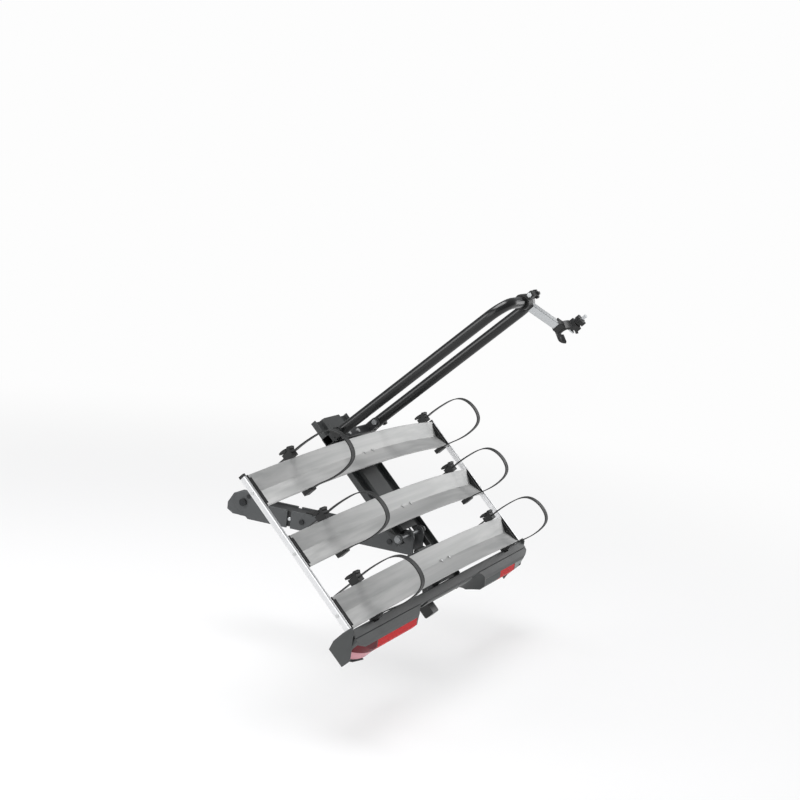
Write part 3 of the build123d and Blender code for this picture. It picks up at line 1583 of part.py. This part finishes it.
# Hook, swung open: it turns forward under the latch pin when the deck comes down
hook_dir = deck_ahead * cos(radians(hook_open)) - deck_up * sin(radians(hook_open))
hook_plane = Plane(
    origin=deck_point(hook_at, hook_pivot[0], hook_pivot[1]), x_dir=hook_dir, z_dir=(1, 0, 0)
)
pin_ahead = latch_spot[0] - hook_pivot[0]
pin_down = latch_spot[1] - hook_pivot[1]
with BuildPart() as latch_hook:
    with BuildSketch(hook_plane):
        with BuildLine():
            Polyline(
                (8, 0),
                (7, pin_down + 6),
                (pin_ahead - latch_pin_radius - 0.6, pin_down + 2),
                (pin_ahead - latch_pin_radius - 0.6, pin_down - latch_pin_radius - 0.4),
                (pin_ahead + 7, pin_down - latch_pin_radius - 0.4),
                (pin_ahead + 9, pin_down - latch_pin_radius - 7),
                (pin_ahead - 14, pin_down - latch_pin_radius - 9),
                (-9, pin_down - 6),
                (-8, 0),
            )
            CenterArc((0, 0), 8, 0, 180)
        make_face()
        Circle(hook_pin_radius + running_gap, mode=Mode.SUBTRACT)
        with Locations((0, -hook_arm_length + 1.4)):
            SlotOverall(
                2 * (rod_pin_radius + rod_slot_play) + 3,
                2 * (rod_pin_radius + rod_slot_play),
                rotation=90,
                mode=Mode.SUBTRACT,
            )
    extrude(amount=hook_plate)
finish(latch_hook, "latch_hook")

with BuildPart() as hook_pin:
    with BuildSketch(deck_side(hook_at - 2)):
        with Locations(hook_pivot):
            Circle(hook_pin_radius)
    extrude(amount=crown_half - hook_at + 2)
    with BuildSketch(deck_side(hook_at - 2)):
        with Locations(hook_pivot):
            Circle(hook_pin_radius + 3)
    extrude(amount=-2)
finish(hook_pin, "hook_pin")
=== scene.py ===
import math

import bmesh
import bpy
import numpy as np
from mathutils import Matrix, Vector


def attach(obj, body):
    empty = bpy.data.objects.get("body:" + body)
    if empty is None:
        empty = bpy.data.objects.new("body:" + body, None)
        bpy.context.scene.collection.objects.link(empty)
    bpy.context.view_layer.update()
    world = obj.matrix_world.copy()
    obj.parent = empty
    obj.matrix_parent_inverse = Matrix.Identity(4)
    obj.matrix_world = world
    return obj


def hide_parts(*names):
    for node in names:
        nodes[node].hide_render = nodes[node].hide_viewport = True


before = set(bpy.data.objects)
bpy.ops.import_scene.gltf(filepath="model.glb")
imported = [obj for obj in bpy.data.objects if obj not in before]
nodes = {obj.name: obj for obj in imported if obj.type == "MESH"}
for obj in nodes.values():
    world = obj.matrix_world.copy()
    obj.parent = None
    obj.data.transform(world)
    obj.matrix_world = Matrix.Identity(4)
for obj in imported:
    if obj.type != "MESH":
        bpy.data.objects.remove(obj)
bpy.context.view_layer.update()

# Studio floor
# A painted floor under a white sweep, plain near-white. It takes the carrier's soft shadow, and
# blends into the backdrop a few metres away, so that no edge shows.
scene = bpy.context.scene
floor_z, floor_half = -0.40, 12.0
fade_from, fade_to, glow_near = 1.0, 4.5, 0.62
studio_white = "#FDFDFD"


def linear(hex_colour):
    """sRGB hex string to a linear RGBA tuple: each channel goes through the sRGB curve."""
    channels = [int(hex_colour[i:i + 2], 16) / 255 for i in (1, 3, 5)]
    return tuple(c / 12.92 if c <= 0.04045 else ((c + 0.055) / 1.055) ** 2.4
                 for c in channels) + (1.0,)


def add(tree, kind, settings=None, values=None, links=None):
    """Add a node, set its properties and its sockets' values, and link its inputs. A link's source
    is a node, for its first output, or a node and the name of one of its outputs."""
    node = tree.nodes.new(kind)
    for name, value in (settings or {}).items():
        setattr(node, name, value)
    for socket, value in (values or {}).items():
        node.inputs[socket].default_value = value
    for socket, source in (links or {}).items():
        source, output = source if isinstance(source, tuple) else (source, 0)
        tree.links.new(source.outputs[output], node.inputs[socket])
    return node


def new_material(name):
    """Empty node material: returns the material and its tree, which has no nodes yet."""
    material = bpy.data.materials.new(name)
    material.use_nodes = True
    material.node_tree.nodes.clear()
    return material, material.node_tree


def grid_mesh(name, points, material, closed=False, smooth=True):
    """Mesh of a grid of points, shape (u, v, 3), in one finish: quads join neighbours, and a closed
    grid joins the last point of each row to its first."""
    count_u, count_v = points.shape[:2]
    columns = np.arange(count_v if closed else count_v - 1)
    row, here = np.meshgrid(np.arange(count_u - 1) * count_v, columns, indexing="ij")
    next_row, after = row + count_v, (here + 1) % count_v
    quads = np.stack((row + here, next_row + here, next_row + after, row + after), -1)
    mesh = bpy.data.meshes.new(name)
    mesh.from_pydata(points.reshape(-1, 3).tolist(), [], quads.reshape(-1, 4).tolist())
    mesh.polygons.foreach_set("use_smooth", np.full(len(mesh.polygons), smooth))
    mesh.materials.append(material)
    piece = bpy.data.objects.new(name, mesh)
    scene.collection.objects.link(piece)
    return piece


floor_paint, tree = new_material("matte_white_floor_paint")
lit = add(tree, "ShaderNodeBsdfPrincipled",
          values={"Base Color": linear("#F2F2F3"), "Roughness": 0.7})
glow = add(tree, "ShaderNodeEmission", values={"Color": linear(studio_white), "Strength": 1.0})
rays = add(tree, "ShaderNodeLightPath")
seen = add(tree, "ShaderNodeMath", {"operation": "MAXIMUM", "use_clamp": True},
           links={0: (rays, "Is Camera Ray"), 1: (rays, "Is Glossy Ray")})
place = add(tree, "ShaderNodeTexCoord")
away = add(tree, "ShaderNodeVectorMath", {"operation": "LENGTH"}, links={0: (place, "Object")})
blend = add(tree, "ShaderNodeMapRange", {"interpolation_type": "SMOOTHSTEP"},
            {"From Min": fade_from, "From Max": fade_to, "To Min": glow_near, "To Max": 1.0},
            {"Value": (away, "Value")})
share = add(tree, "ShaderNodeMath", {"operation": "MULTIPLY"}, links={0: seen, 1: blend})
mix = add(tree, "ShaderNodeMixShader", links={0: share, 1: lit, 2: glow})
add(tree, "ShaderNodeOutputMaterial", links={"Surface": mix})
floor_side = np.linspace(-floor_half, floor_half, 3)
floor_x, floor_y = np.meshgrid(floor_side, floor_side, indexing="ij")
floor_points = np.stack((floor_x, floor_y, np.full_like(floor_x, floor_z)), -1)
floor = grid_mesh("studio_floor", floor_points, floor_paint)

# Studio light and camera
# Square soft boxes in a pale room: a large one overhead, and weaker ones at the left, right and
# front. Each row has its place and aim in metres, its side in metres and its power in watts.
# The camera is the one that was fitted to the photograph's trays, rails and light board.
room_strength, backdrop_strength = 0.38, 1.0
soft_boxes = (
    ("overhead_box", (-0.4, -0.2, 3.6), (0, -0.5, 0.1), 2.4, 120.0),
    ("left_box", (-4.4, -0.6, 1.6), (0, -0.6, 0.1), 3.0, 60.0),
    ("right_box", (4.4, -2.2, 1.2), (0.3, -0.8, 0.0), 2.2, 30.0),
    ("front_box", (-2.6, 1.9, 1.6), (0, -0.9, 0.4), 2.0, 45.0),
)
camera_place = Matrix((
    (0.421908, 0.103745, -0.900684, -4.17837),
    (-0.900708, 0.161410, -0.403327, -2.37919),
    (0.103536, 0.981419, 0.161544, 1.17645),
    (0, 0, 0, 1),
))

world = bpy.data.worlds.new("pale_room")
scene.world = world
world.use_nodes = True
tree = world.node_tree
tree.nodes.clear()
room = add(tree, "ShaderNodeBackground",
           values={"Color": linear("#F4F5F7"), "Strength": room_strength})
backdrop = add(tree, "ShaderNodeBackground",
               values={"Color": linear(studio_white), "Strength": backdrop_strength})
rays = add(tree, "ShaderNodeLightPath")
mix = add(tree, "ShaderNodeMixShader", links={0: (rays, "Is Camera Ray"), 1: room, 2: backdrop})
add(tree, "ShaderNodeOutputWorld", links={"Surface": mix})

for name, stand, aim, side, power in soft_boxes:
    lamp = bpy.data.lights.new(name, "AREA")
    lamp.shape = "SQUARE"
    lamp.size = side
    lamp.energy = power
    box = bpy.data.objects.new(name, lamp)
    box.location = stand
    box.rotation_euler = (Vector(aim) - Vector(stand)).to_track_quat("-Z", "Y").to_euler()
    scene.collection.objects.link(box)

camera_data = bpy.data.cameras.new("camera")
camera_data.lens = 69.68
camera_data.sensor_width = 36.0
camera = bpy.data.objects.new("camera", camera_data)
camera.matrix_world = camera_place
scene.collection.objects.link(camera)
scene.camera = camera
scene.view_settings.view_transform = "Standard"

# Swing arm and centre pan
# Laser-cut and folded steel, with a bent tube for the bow. Powder coated: slate on the arm's
# plates, graphite on the pan, black on the arm's beam, the brackets and the pedal, and a glossier
# black on the bow. The coat has orange peel 1.5 mm wide, tones in 40 mm blotches, and edges painted
# paler, partly as wear and partly as a painted edge highlight.
blotch_scale, peel_scale, patch_scale = 25.0, 650.0, 90.0
turned_least, turned_most = 0.97, 0.80
patch_least, patch_most = 0.35, 0.6
bevel_samples = 4
coat_edge, coat_wear_and_highlight, peel_height = 0.0012, 0.55, 0.0004
# Paler tone for the coat's edges: partly wear, partly a painted edge highlight.
worn_and_highlit_coat = "#7C7E7F"


def worn_and_highlit_edges(tree, place, radius, amount):
    """Normals rounded at the edges by radius, and a mask of the edges painted paler, partly as wear
    and partly as a painted edge highlight: it grows with the angle between the rounded normal and
    the flat one, from their dot product, and noise breaks it up into patches 11 mm wide."""
    round_edge = add(tree, "ShaderNodeBevel", {"samples": bevel_samples}, {"Radius": radius})
    flat = add(tree, "ShaderNodeNewGeometry")
    turn = add(tree, "ShaderNodeVectorMath", {"operation": "DOT_PRODUCT"},
               links={0: round_edge, 1: (flat, "Normal")})
    edge_wear_and_highlight = add(tree, "ShaderNodeMapRange",
               values={"From Min": turned_least, "From Max": turned_most, "To Max": amount},
               links={"Value": (turn, "Value")})
    patches = add(tree, "ShaderNodeTexNoise", values={"Scale": patch_scale, "Detail": 3.0},
               links={"Vector": (place, "Object")})
    broken = add(tree, "ShaderNodeMapRange", values={"From Min": patch_least, "From Max": patch_most},
                 links={"Value": patches})
    mask = add(tree, "ShaderNodeMath", {"operation": "MULTIPLY", "use_clamp": True},
               links={0: edge_wear_and_highlight, 1: broken})
    return round_edge, mask


def powder_coat(name, base, pale, roughness, peel=0.12):
    """Polyester powder coat: two close tones and a gloss that both follow the blotches, orange peel
    as bump, and edges painted paler, partly as wear and partly as a painted edge highlight."""
    material, tree = new_material(name)
    place = add(tree, "ShaderNodeTexCoord")
    blotch = add(tree, "ShaderNodeTexNoise", values={"Scale": blotch_scale, "Detail": 3.0},
                 links={"Vector": (place, "Object")})
    coat_tone = add(tree, "ShaderNodeMixRGB",
                    values={"Color1": linear(base), "Color2": linear(pale)}, links={"Fac": blotch})
    round_edge, worn_and_highlit = worn_and_highlit_edges(tree, place, coat_edge, coat_wear_and_highlight)
    tone = add(tree, "ShaderNodeMixRGB", values={"Color2": linear(worn_and_highlit_coat)},
               links={"Fac": worn_and_highlit, "Color1": coat_tone})
    skin = add(tree, "ShaderNodeTexNoise", values={"Scale": peel_scale, "Detail": 2.0},
               links={"Vector": (place, "Object")})
    bump = add(tree, "ShaderNodeBump", values={"Strength": peel, "Distance": peel_height},
               links={"Height": skin, "Normal": round_edge})
    rough = add(tree, "ShaderNodeMapRange",
                values={"To Min": roughness - 0.05, "To Max": roughness + 0.08},
                links={"Value": blotch})
    coat = add(tree, "ShaderNodeBsdfPrincipled",
               links={"Base Color": tone, "Normal": bump, "Roughness": rough})
    add(tree, "ShaderNodeOutputMaterial", links={"Surface": coat})
    return material


def finish_nodes(node_names, material):
    """Give CAD nodes a finish through their own material slots."""
    for node_name in node_names:
        for slot in nodes[node_name].material_slots:
            slot.material = material


finish_nodes(("arm_plate_left", "arm_plate_right", "coupling_housing"),
             powder_coat("satin_powder_coat_slate", "#3F4142", "#4A4C4D", 0.42))
finish_nodes(("arm_tube", "bow_crossbar", "release_pedal", "pan_brackets"),
             powder_coat("satin_powder_coat_black", "#151617", "#222324", 0.38))
finish_nodes(("bow",),
             powder_coat("gloss_powder_coat_black", "#0B0C0C", "#131414", 0.24, peel=0.05))
finish_nodes(("centre_pan",),
             powder_coat("satin_powder_coat_graphite", "#2E3030", "#3A3C3C", 0.45))

# Trays and side rails
# Extruded and bent aluminium, mill satin on the trays and bright anodised on the rails. Real
# drawing lines are about 0.3 mm apart. Here they are 1.5 mm apart on the trays and 11 mm on the
# rails, so that they show, over streaks 17 mm wide on the trays and 50 mm on the rails.
tilt = math.radians(44.0)
line_height = 0.0003
streak_least, streak_most = 0.36, 0.64
# Near-white tone for the metal's edges: partly wear, partly a painted edge highlight.
rubbed_metal = "#F2F2F1"


def drawn_aluminium(name, dark, light, roughness, fine, broad, metallic, relief, edge, edge_wear_and_highlight):
    """Aluminium with drawing lines: fine lines give the bump, and broad streaks the tone and gloss.
    Both are noise in the tilted deck's axes, squeezed across the lines and stretched along them.
    Fine and broad are their cells per metre across the deck, along it and up from it."""
    material, tree = new_material(name)
    place = add(tree, "ShaderNodeTexCoord")
    turned = add(tree, "ShaderNodeMapping", values={"Rotation": (-tilt, 0, 0)},
                 links={"Vector": (place, "Object")})
    squeeze = add(tree, "ShaderNodeMapping", values={"Scale": fine}, links={"Vector": turned})
    lines = add(tree, "ShaderNodeTexNoise",
                values={"Scale": 1.0, "Detail": 4.0, "Roughness": 0.6}, links={"Vector": squeeze})
    draw = add(tree, "ShaderNodeMapping", values={"Scale": broad}, links={"Vector": turned})
    streaks = add(tree, "ShaderNodeTexNoise", values={"Scale": 1.0, "Detail": 3.0},
                  links={"Vector": draw})
    spread = add(tree, "ShaderNodeMapRange",
                 values={"From Min": streak_least, "From Max": streak_most},
                 links={"Value": streaks})
    tone = add(tree, "ShaderNodeMixRGB",
               values={"Color1": linear(dark), "Color2": linear(light)}, links={"Fac": spread})
    rough = add(tree, "ShaderNodeMapRange",
                values={"To Min": roughness - 0.06, "To Max": roughness + 0.06},
                links={"Value": streaks})
    # Edges painted paler: partly wear, partly a painted edge highlight.
    round_edge, worn_and_highlit = worn_and_highlit_edges(tree, place, edge, edge_wear_and_highlight)
    edge_tone = add(tree, "ShaderNodeMixRGB", values={"Color2": linear(rubbed_metal)},
                    links={"Fac": worn_and_highlit, "Color1": tone})
    bump = add(tree, "ShaderNodeBump", values={"Strength": relief, "Distance": line_height},
               links={"Height": lines, "Normal": round_edge})
    metal = add(tree, "ShaderNodeBsdfPrincipled", values={"Metallic": metallic},
                links={"Base Color": edge_tone, "Roughness": rough, "Normal": bump})
    add(tree, "ShaderNodeOutputMaterial", links={"Surface": metal})
    return material


finish_nodes(("tray_1", "tray_2", "tray_3"), drawn_aluminium(
    "mill_satin_aluminium", "#B5B6B5", "#C5C5C4", roughness=0.46, fine=(3.0, 660.0, 660.0),
    broad=(1.0, 60.0, 60.0), metallic=0.65, relief=0.06, edge=0.002, edge_wear_and_highlight=0.5))
finish_nodes(("side_rail_left", "side_rail_right"), drawn_aluminium(
    "bright_anodised_aluminium", "#DCDDDE", "#E8E8E9", roughness=0.30, fine=(90.0, 1.0, 90.0),
    broad=(20.0, 2.0, 20.0), metallic=0.85, relief=0.01, edge=0.0007, edge_wear_and_highlight=0.1))

# Screws, axles, pins, the pull rod and the holder bar
# Cold-headed, turned and drawn steel with soft smears about 8 mm across. Bright zinc on the pins,
# rod and bar, a duller and paler zinc on the small screws, grey phosphate on the hinge axle, and
# black oxide on the arm's bolts.
smear_scale, steel_edge = 120.0, 0.0006


def plated_steel(name, base, pale, glossy, dull):
    """Plated steel: two close tones and a roughness from glossy to dull that both follow the
    smears, and rounded edges."""
    material, tree = new_material(name)
    place = add(tree, "ShaderNodeTexCoord")
    smear = add(tree, "ShaderNodeTexNoise", values={"Scale": smear_scale, "Detail": 3.0},
                links={"Vector": (place, "Object")})
    tone = add(tree, "ShaderNodeMixRGB",
               values={"Color1": linear(base), "Color2": linear(pale)}, links={"Fac": smear})
    rough = add(tree, "ShaderNodeMapRange", values={"To Min": glossy, "To Max": dull},
                links={"Value": smear})
    round_edge = add(tree, "ShaderNodeBevel", {"samples": bevel_samples}, {"Radius": steel_edge})
    metal = add(tree, "ShaderNodeBsdfPrincipled", values={"Metallic": 1.0},
                links={"Base Color": tone, "Roughness": rough, "Normal": round_edge})
    add(tree, "ShaderNodeOutputMaterial", links={"Surface": metal})
    return material


finish_nodes(("latch_pin", "bow_bolts", "clamp_bolt", "claw_screw", "pull_rod", "latch_hook",
              "hook_pin", "holder_bar"),
             plated_steel("bright_zinc_plated_steel", "#B4B7B9", "#D4D6D7", 0.22, 0.38))
finish_nodes(("deck_screws",),
             plated_steel("dull_zinc_plated_steel", "#C4C5C5", "#D2D3D3", 0.40, 0.55))
finish_nodes(("hinge_axle",), plated_steel("phosphated_steel", "#7C7E80", "#97999A", 0.35, 0.5))
finish_nodes(("arm_bolts",), plated_steel("black_oxide_steel", "#2C2D2E", "#4A4B4C", 0.30, 0.45))

# Coupling jaw and clamp lever
# Drop-forged steel, blackened in oil, and hung on pins in the coupling's housing: dark, with a
# grainy skin about 1.1 mm across and a dull shine.
skin_scale, skin_height = 900.0, 0.0005
forged, tree = new_material("oil_blackened_forged_steel")
place = add(tree, "ShaderNodeTexCoord")
grain = add(tree, "ShaderNodeTexNoise", values={"Scale": skin_scale, "Detail": 4.0},
            links={"Vector": (place, "Object")})
tone = add(tree, "ShaderNodeMixRGB",
           values={"Color1": linear("#3A3B3C"), "Color2": linear("#59595A")}, links={"Fac": grain})
bump = add(tree, "ShaderNodeBump", values={"Strength": 0.35, "Distance": skin_height},
           links={"Height": grain})
metal = add(tree, "ShaderNodeBsdfPrincipled", values={"Metallic": 0.9, "Roughness": 0.48},
            links={"Base Color": tone, "Normal": bump})
add(tree, "ShaderNodeOutputMaterial", links={"Surface": metal})
finish_nodes(("coupling_jaw", "clamp_lever"), forged)

# Moulded plastic pieces
# Glass-filled nylon and polypropylene from a spark-eroded mould: a fine grain about 0.7 mm across
# and a soft, broad shine. Black on the small pieces, graphite on the light board, and smooth on
# the pedal's cap.
cloud_scale, plastic_edge, grain_height = 16.0, 0.001, 0.0004
polymer_ior = 1.49


def moulded_plastic(name, base, pale, roughness, grain=1400.0, depth=0.18):
    """Grained polymer: two close tones and a gloss that both follow a 60 mm cloud, and the mould's
    grain as bump, in cells per metre."""
    material, tree = new_material(name)
    place = add(tree, "ShaderNodeTexCoord")
    cloud = add(tree, "ShaderNodeTexNoise", values={"Scale": cloud_scale, "Detail": 2.0},
                links={"Vector": (place, "Object")})
    tone = add(tree, "ShaderNodeMixRGB",
               values={"Color1": linear(base), "Color2": linear(pale)}, links={"Fac": cloud})
    skin = add(tree, "ShaderNodeTexNoise", values={"Scale": grain, "Detail": 1.0},
               links={"Vector": (place, "Object")})
    round_edge = add(tree, "ShaderNodeBevel", {"samples": bevel_samples}, {"Radius": plastic_edge})
    bump = add(tree, "ShaderNodeBump", values={"Strength": depth, "Distance": grain_height},
               links={"Height": skin, "Normal": round_edge})
    rough = add(tree, "ShaderNodeMapRange",
                values={"To Min": roughness - 0.04, "To Max": roughness + 0.06},
                links={"Value": cloud})
    body = add(tree, "ShaderNodeBsdfPrincipled", values={"IOR": polymer_ior},
               links={"Base Color": tone, "Normal": bump, "Roughness": rough})
    add(tree, "ShaderNodeOutputMaterial", links={"Surface": body})
    return material


buckle_levers = [name for name in nodes if name.startswith("buckle_lever")]
finish_nodes(("light_board", "lamp_housings", "plate_rail"),
             moulded_plastic("grained_polypropylene_graphite", "#393B3B", "#444646", 0.43))
finish_nodes(["end_caps", "tray_saddles", "hinge_bushes", "strap_clips", "bow_knob_left",
              "bow_knob_right", "holder_clamp", "claw", "clamp_knob", "claw_knob", "lever_grip",
              *buckle_levers],
             moulded_plastic("glass_filled_nylon_black", "#0E0F0F", "#151616", 0.45))
finish_nodes(("pedal_cap",),
             moulded_plastic("smooth_nylon_black", "#101111", "#171818", 0.28, depth=0.06))

# Rubber buffers and tilt stop
# Pressed EPDM pads on the arm and on the pan's cross wall: flat black with a slight bloom, and a
# shallow grain about 1.4 mm across.
finish_nodes(("arm_buffers", "tilt_stop"), moulded_plastic(
    "pressed_epdm_rubber", "#1B1B1B", "#262625", 0.72, grain=700.0, depth=0.1))

# Lenses
# Injection-moulded acrylic over the tail lamps and indicators. Prism ribs about 3 mm apart on the
# inside break the light up. The left end cell is deep red over pale pink, and the right one pale
# grey over pink, the pale grey a painted reflection on its clear top. A grey reversing cell stands
# in the right lamp's inner end.
hinge_y, hinge_z = -600.0, 35.0
hinge_height = (hinge_z * math.cos(tilt) - hinge_y * math.sin(tilt)) / 1000
rib_scale, rib_height = 105.0, 0.0005
beyond_end, beyond_top = 0.7, 0.2


def lens_plastic(name, base, cells, roughness):
    """Tinted acrylic in a base colour. Each cell is a box in deck metres, (side, inner edge, outer
    edge, lowest, highest, colour), and paints its colour over the ones before it. Its side is 1 on
    the right and -1 on the left. A wave across X gives the ribs their bump and a painted shade."""
    material, tree = new_material(name)
    place = add(tree, "ShaderNodeTexCoord")
    split = add(tree, "ShaderNodeSeparateXYZ", links={"Vector": (place, "Object")})
    height = add(tree, "ShaderNodeVectorMath", {"operation": "DOT_PRODUCT"},
                 {1: (0, -math.sin(tilt), math.cos(tilt))}, {0: (place, "Object")})
    under_value, under_link = {"Color1": linear(base)}, {}
    for side, inner, outer, low, high, paint in cells:
        along = add(tree, "ShaderNodeMath", {"operation": "MULTIPLY"}, {1: side},
                    {0: (split, "X")})
        across = add(tree, "ShaderNodeMath", {"operation": "COMPARE"},
                     {1: (inner + outer) / 2, 2: (outer - inner) / 2}, {0: along})
        upright = add(tree, "ShaderNodeMath", {"operation": "COMPARE"},
                      {1: (low + high) / 2 + hinge_height, 2: (high - low) / 2},
                      {0: (height, "Value")})
        inside = add(tree, "ShaderNodeMath", {"operation": "MULTIPLY"},
                     links={0: across, 1: upright})
        colour = add(tree, "ShaderNodeMixRGB", values={"Color2": linear(paint), **under_value},
                     links={"Fac": inside, **under_link})
        under_value, under_link = {}, {"Color1": colour}
    ribs = add(tree, "ShaderNodeTexWave", {"bands_direction": "X"}, {"Scale": rib_scale},
               {"Vector": (place, "Object")})
    # Painted shade: the ribs darken the lens colour by up to 14%.
    shade = add(tree, "ShaderNodeMapRange", values={"To Min": 0.86}, links={"Value": ribs})
    tone = add(tree, "ShaderNodeMixRGB", {"blend_type": "MULTIPLY"}, {"Fac": 1.0},
               {"Color1": colour, "Color2": shade})
    bump = add(tree, "ShaderNodeBump", values={"Strength": 0.2, "Distance": rib_height},
               links={"Height": ribs})
    body = add(tree, "ShaderNodeBsdfPrincipled",
               values={"IOR": polymer_ior, "Roughness": roughness, "Transmission Weight": 0.10,
                       "Specular IOR Level": 0.0, "Coat Weight": 0.25, "Coat Roughness": 0.05},
               links={"Base Color": tone, "Normal": bump})
    add(tree, "ShaderNodeOutputMaterial", links={"Surface": body})
    return material


finish_nodes(("red_lenses",), lens_plastic("red_acrylic_lens", "#E4121B", (
    (1, 0.25, 0.39, -0.068, beyond_top, "#5E6261"),
), 0.26))
finish_nodes(("clear_lenses",), lens_plastic("pink_acrylic_lens", "#E48A92", (
    # Pale grey over the top of the right end cell: a painted reflection.
    (1, 0.0, beyond_end, -0.040, beyond_top, "#AEB4B2"),
    (-1, 0.0, beyond_end, -beyond_top, beyond_top, "#E3A4AC"),
    (-1, 0.0, beyond_end, -0.050, beyond_top, "#6A0D1B"),
), 0.2))

# Ratchet straps
# Moulded polyurethane bands with a low rail along each edge and saw teeth between the rails. Each
# is held in its anchor behind the tray, stands up in an open loop, and runs down through the
# buckle to a free rounded tail. Sizes are in mm, in the tilted deck's own axes.
half_width, half_depth = 11.0, 1.6
tooth_pitch, tooth_depth, tooth_rise, tooth_fall = 4.0, 0.7, 0.8, 0.2
teeth_start = 70.0
anchor, anchor_foot = (-104.0, 4.0), (-104.0, -26.0)
buckle_mouth, tail_end = (11.5, 30.0), (11.5, -92.0)
loop_points = np.array((anchor, (-113, 50), (-121, 112), (-108, 158), (-62, 172), (-14, 152),
                        (7, 92), buckle_mouth))
strap_places = (
    (330.0, (-410.0, 540.0)),
    (130.0, (-448.0, 448.0)),
    (-70.0, (-490.0, 486.0)),
)
tray_half, tray_drop, tray_top = 620.0, 55.0, 51.0
arch_radius = (tray_half ** 2 + tray_drop ** 2) / (2 * tray_drop)
foot_points, spline_points, tail_points, tip_points = 60, 3000, 240, 9
rounding, narrowest = 1e-6, 0.02


def bent_line(points, first, last, count):
    """Smooth line through points: a cubic spline over the chord lengths, with the end directions
    first and last. The slopes solve the usual three-term system, and each span is the Hermite cubic
    of its ends and slopes."""
    chord = np.linalg.norm(np.diff(points, axis=0), axis=1)
    size = len(points)
    system = np.zeros((size, size))
    right = np.zeros((size, 2))
    system[0, 0] = system[-1, -1] = 1.0
    right[0], right[-1] = first, last
    inner = np.arange(1, size - 1)
    system[inner, inner - 1] = chord[1:]
    system[inner, inner] = 2 * (chord[1:] + chord[:-1])
    system[inner, inner + 1] = chord[:-1]
    step = np.diff(points, axis=0) / chord[:, None]
    right[inner] = 3 * (chord[1:, None] * step[:-1] + chord[:-1, None] * step[1:])
    slope = np.linalg.solve(system, right)
    knots = np.concatenate(([0.0], np.cumsum(chord)))
    at = np.linspace(0, knots[-1], count)
    span = np.clip(np.searchsorted(knots, at, side="right") - 1, 0, size - 2)
    length = chord[span, None]
    u = ((at - knots[span]) / chord[span])[:, None]
    return ((2 * u ** 3 - 3 * u ** 2 + 1) * points[span]
            + (u ** 3 - 2 * u ** 2 + u) * length * slope[span]
            + (3 * u ** 2 - 2 * u ** 3) * points[span + 1]
            + (u ** 3 - u ** 2) * length * slope[span + 1])


def close_ends(piece, around):
    """Close both ends of a tube-like grid mesh with a face over its first and its last ring."""
    shell = bmesh.new()
    shell.from_mesh(piece.data)
    shell.verts.ensure_lookup_table()
    total = len(shell.verts)
    shell.faces.new([shell.verts[i] for i in range(around)])
    shell.faces.new([shell.verts[total - around + i] for i in range(around)])
    bmesh.ops.recalc_face_normals(shell, faces=shell.faces)
    shell.to_mesh(piece.data)
    shell.free()


# The band's middle line, from the anchor's foot over the loop to the tail's end. It has a station
# wherever a tooth starts or peaks and all round the tail, which narrows as a circle does.
middle_line = np.concatenate((
    np.linspace(anchor_foot, anchor, foot_points)[:-1],
    bent_line(loop_points, (0, 1), (0, -1), spline_points),
    np.linspace(buckle_mouth, tail_end, tail_points)[1:],
))
steps = np.linalg.norm(np.diff(middle_line, axis=0), axis=1)
run = np.concatenate(([0.0], np.cumsum(steps)))
tooth = np.arange(0, run[-1] - tooth_pitch, tooth_pitch)
tail = run[-1] - half_width * (1 - np.sin(np.linspace(0, 1.5, tip_points)))
station = np.unique(np.concatenate((tooth, tooth + tooth_rise * tooth_pitch, tail)))
line = np.stack([np.interp(station, run, middle_line[:, i]) for i in (0, 1)], -1)
ahead = np.gradient(line, station, axis=0)
ahead /= np.linalg.norm(ahead, axis=1)[:, None]
outward = np.stack((-ahead[:, 1], ahead[:, 0]), -1)
saw = (station / tooth_pitch + rounding) % 1.0
notch = tooth_depth * (1 - np.minimum(saw / tooth_rise, (1 - saw) / tooth_fall))
cut = np.where((station > teeth_start) & (station < run[-1] - half_width), notch, 0)
into_tail = np.maximum(station - run[-1] + half_width, 0) / half_width
tip = np.sqrt(np.clip(1 - into_tail ** 2, narrowest, 1))

# The band's cross-section, point by point round it, and which of its points the teeth cut down.
band_x = np.array((-1.0, -1, -0.955, -0.80, -0.75, 0.75, 0.80, 0.955, 1, 1, 0.955, -0.955))
band_up = np.array((-0.7, 0.7, 1, 1, 1, 1, 1, 1, 0.7, -0.7, -1, -1))
toothed = np.array((0, 0, 0, 0, 1, 1, 0, 0, 0, 0, 0, 0))
stand = band_up * half_depth - cut[:, None] * toothed
strap_material = moulded_plastic("moulded_polyurethane_strap", "#161717", "#202121", 0.42,
                                 grain=900.0, depth=0.08)
for row, (front, sides) in enumerate(strap_places, 1):
    for side_name, across in zip(("left", "right"), sides):
        rim = tray_top - (arch_radius - math.sqrt(arch_radius ** 2 - across ** 2))
        x = across + tip[:, None] * (band_x * half_width)
        v = front + line[:, None, 0] + outward[:, None, 0] * stand
        w = rim + line[:, None, 1] + outward[:, None, 1] * stand
        y = hinge_y + v * math.cos(tilt) - w * math.sin(tilt)
        z = hinge_z + v * math.sin(tilt) + w * math.cos(tilt)
        band = grid_mesh(f"toothed_strap_{row}_{side_name}", np.stack((x, y, z), -1) / 1000,
                         strap_material, closed=True, smooth=False)
        close_ends(band, len(band_x))
        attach(band, "deck")
        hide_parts(f"strap_{row}_{side_name}")
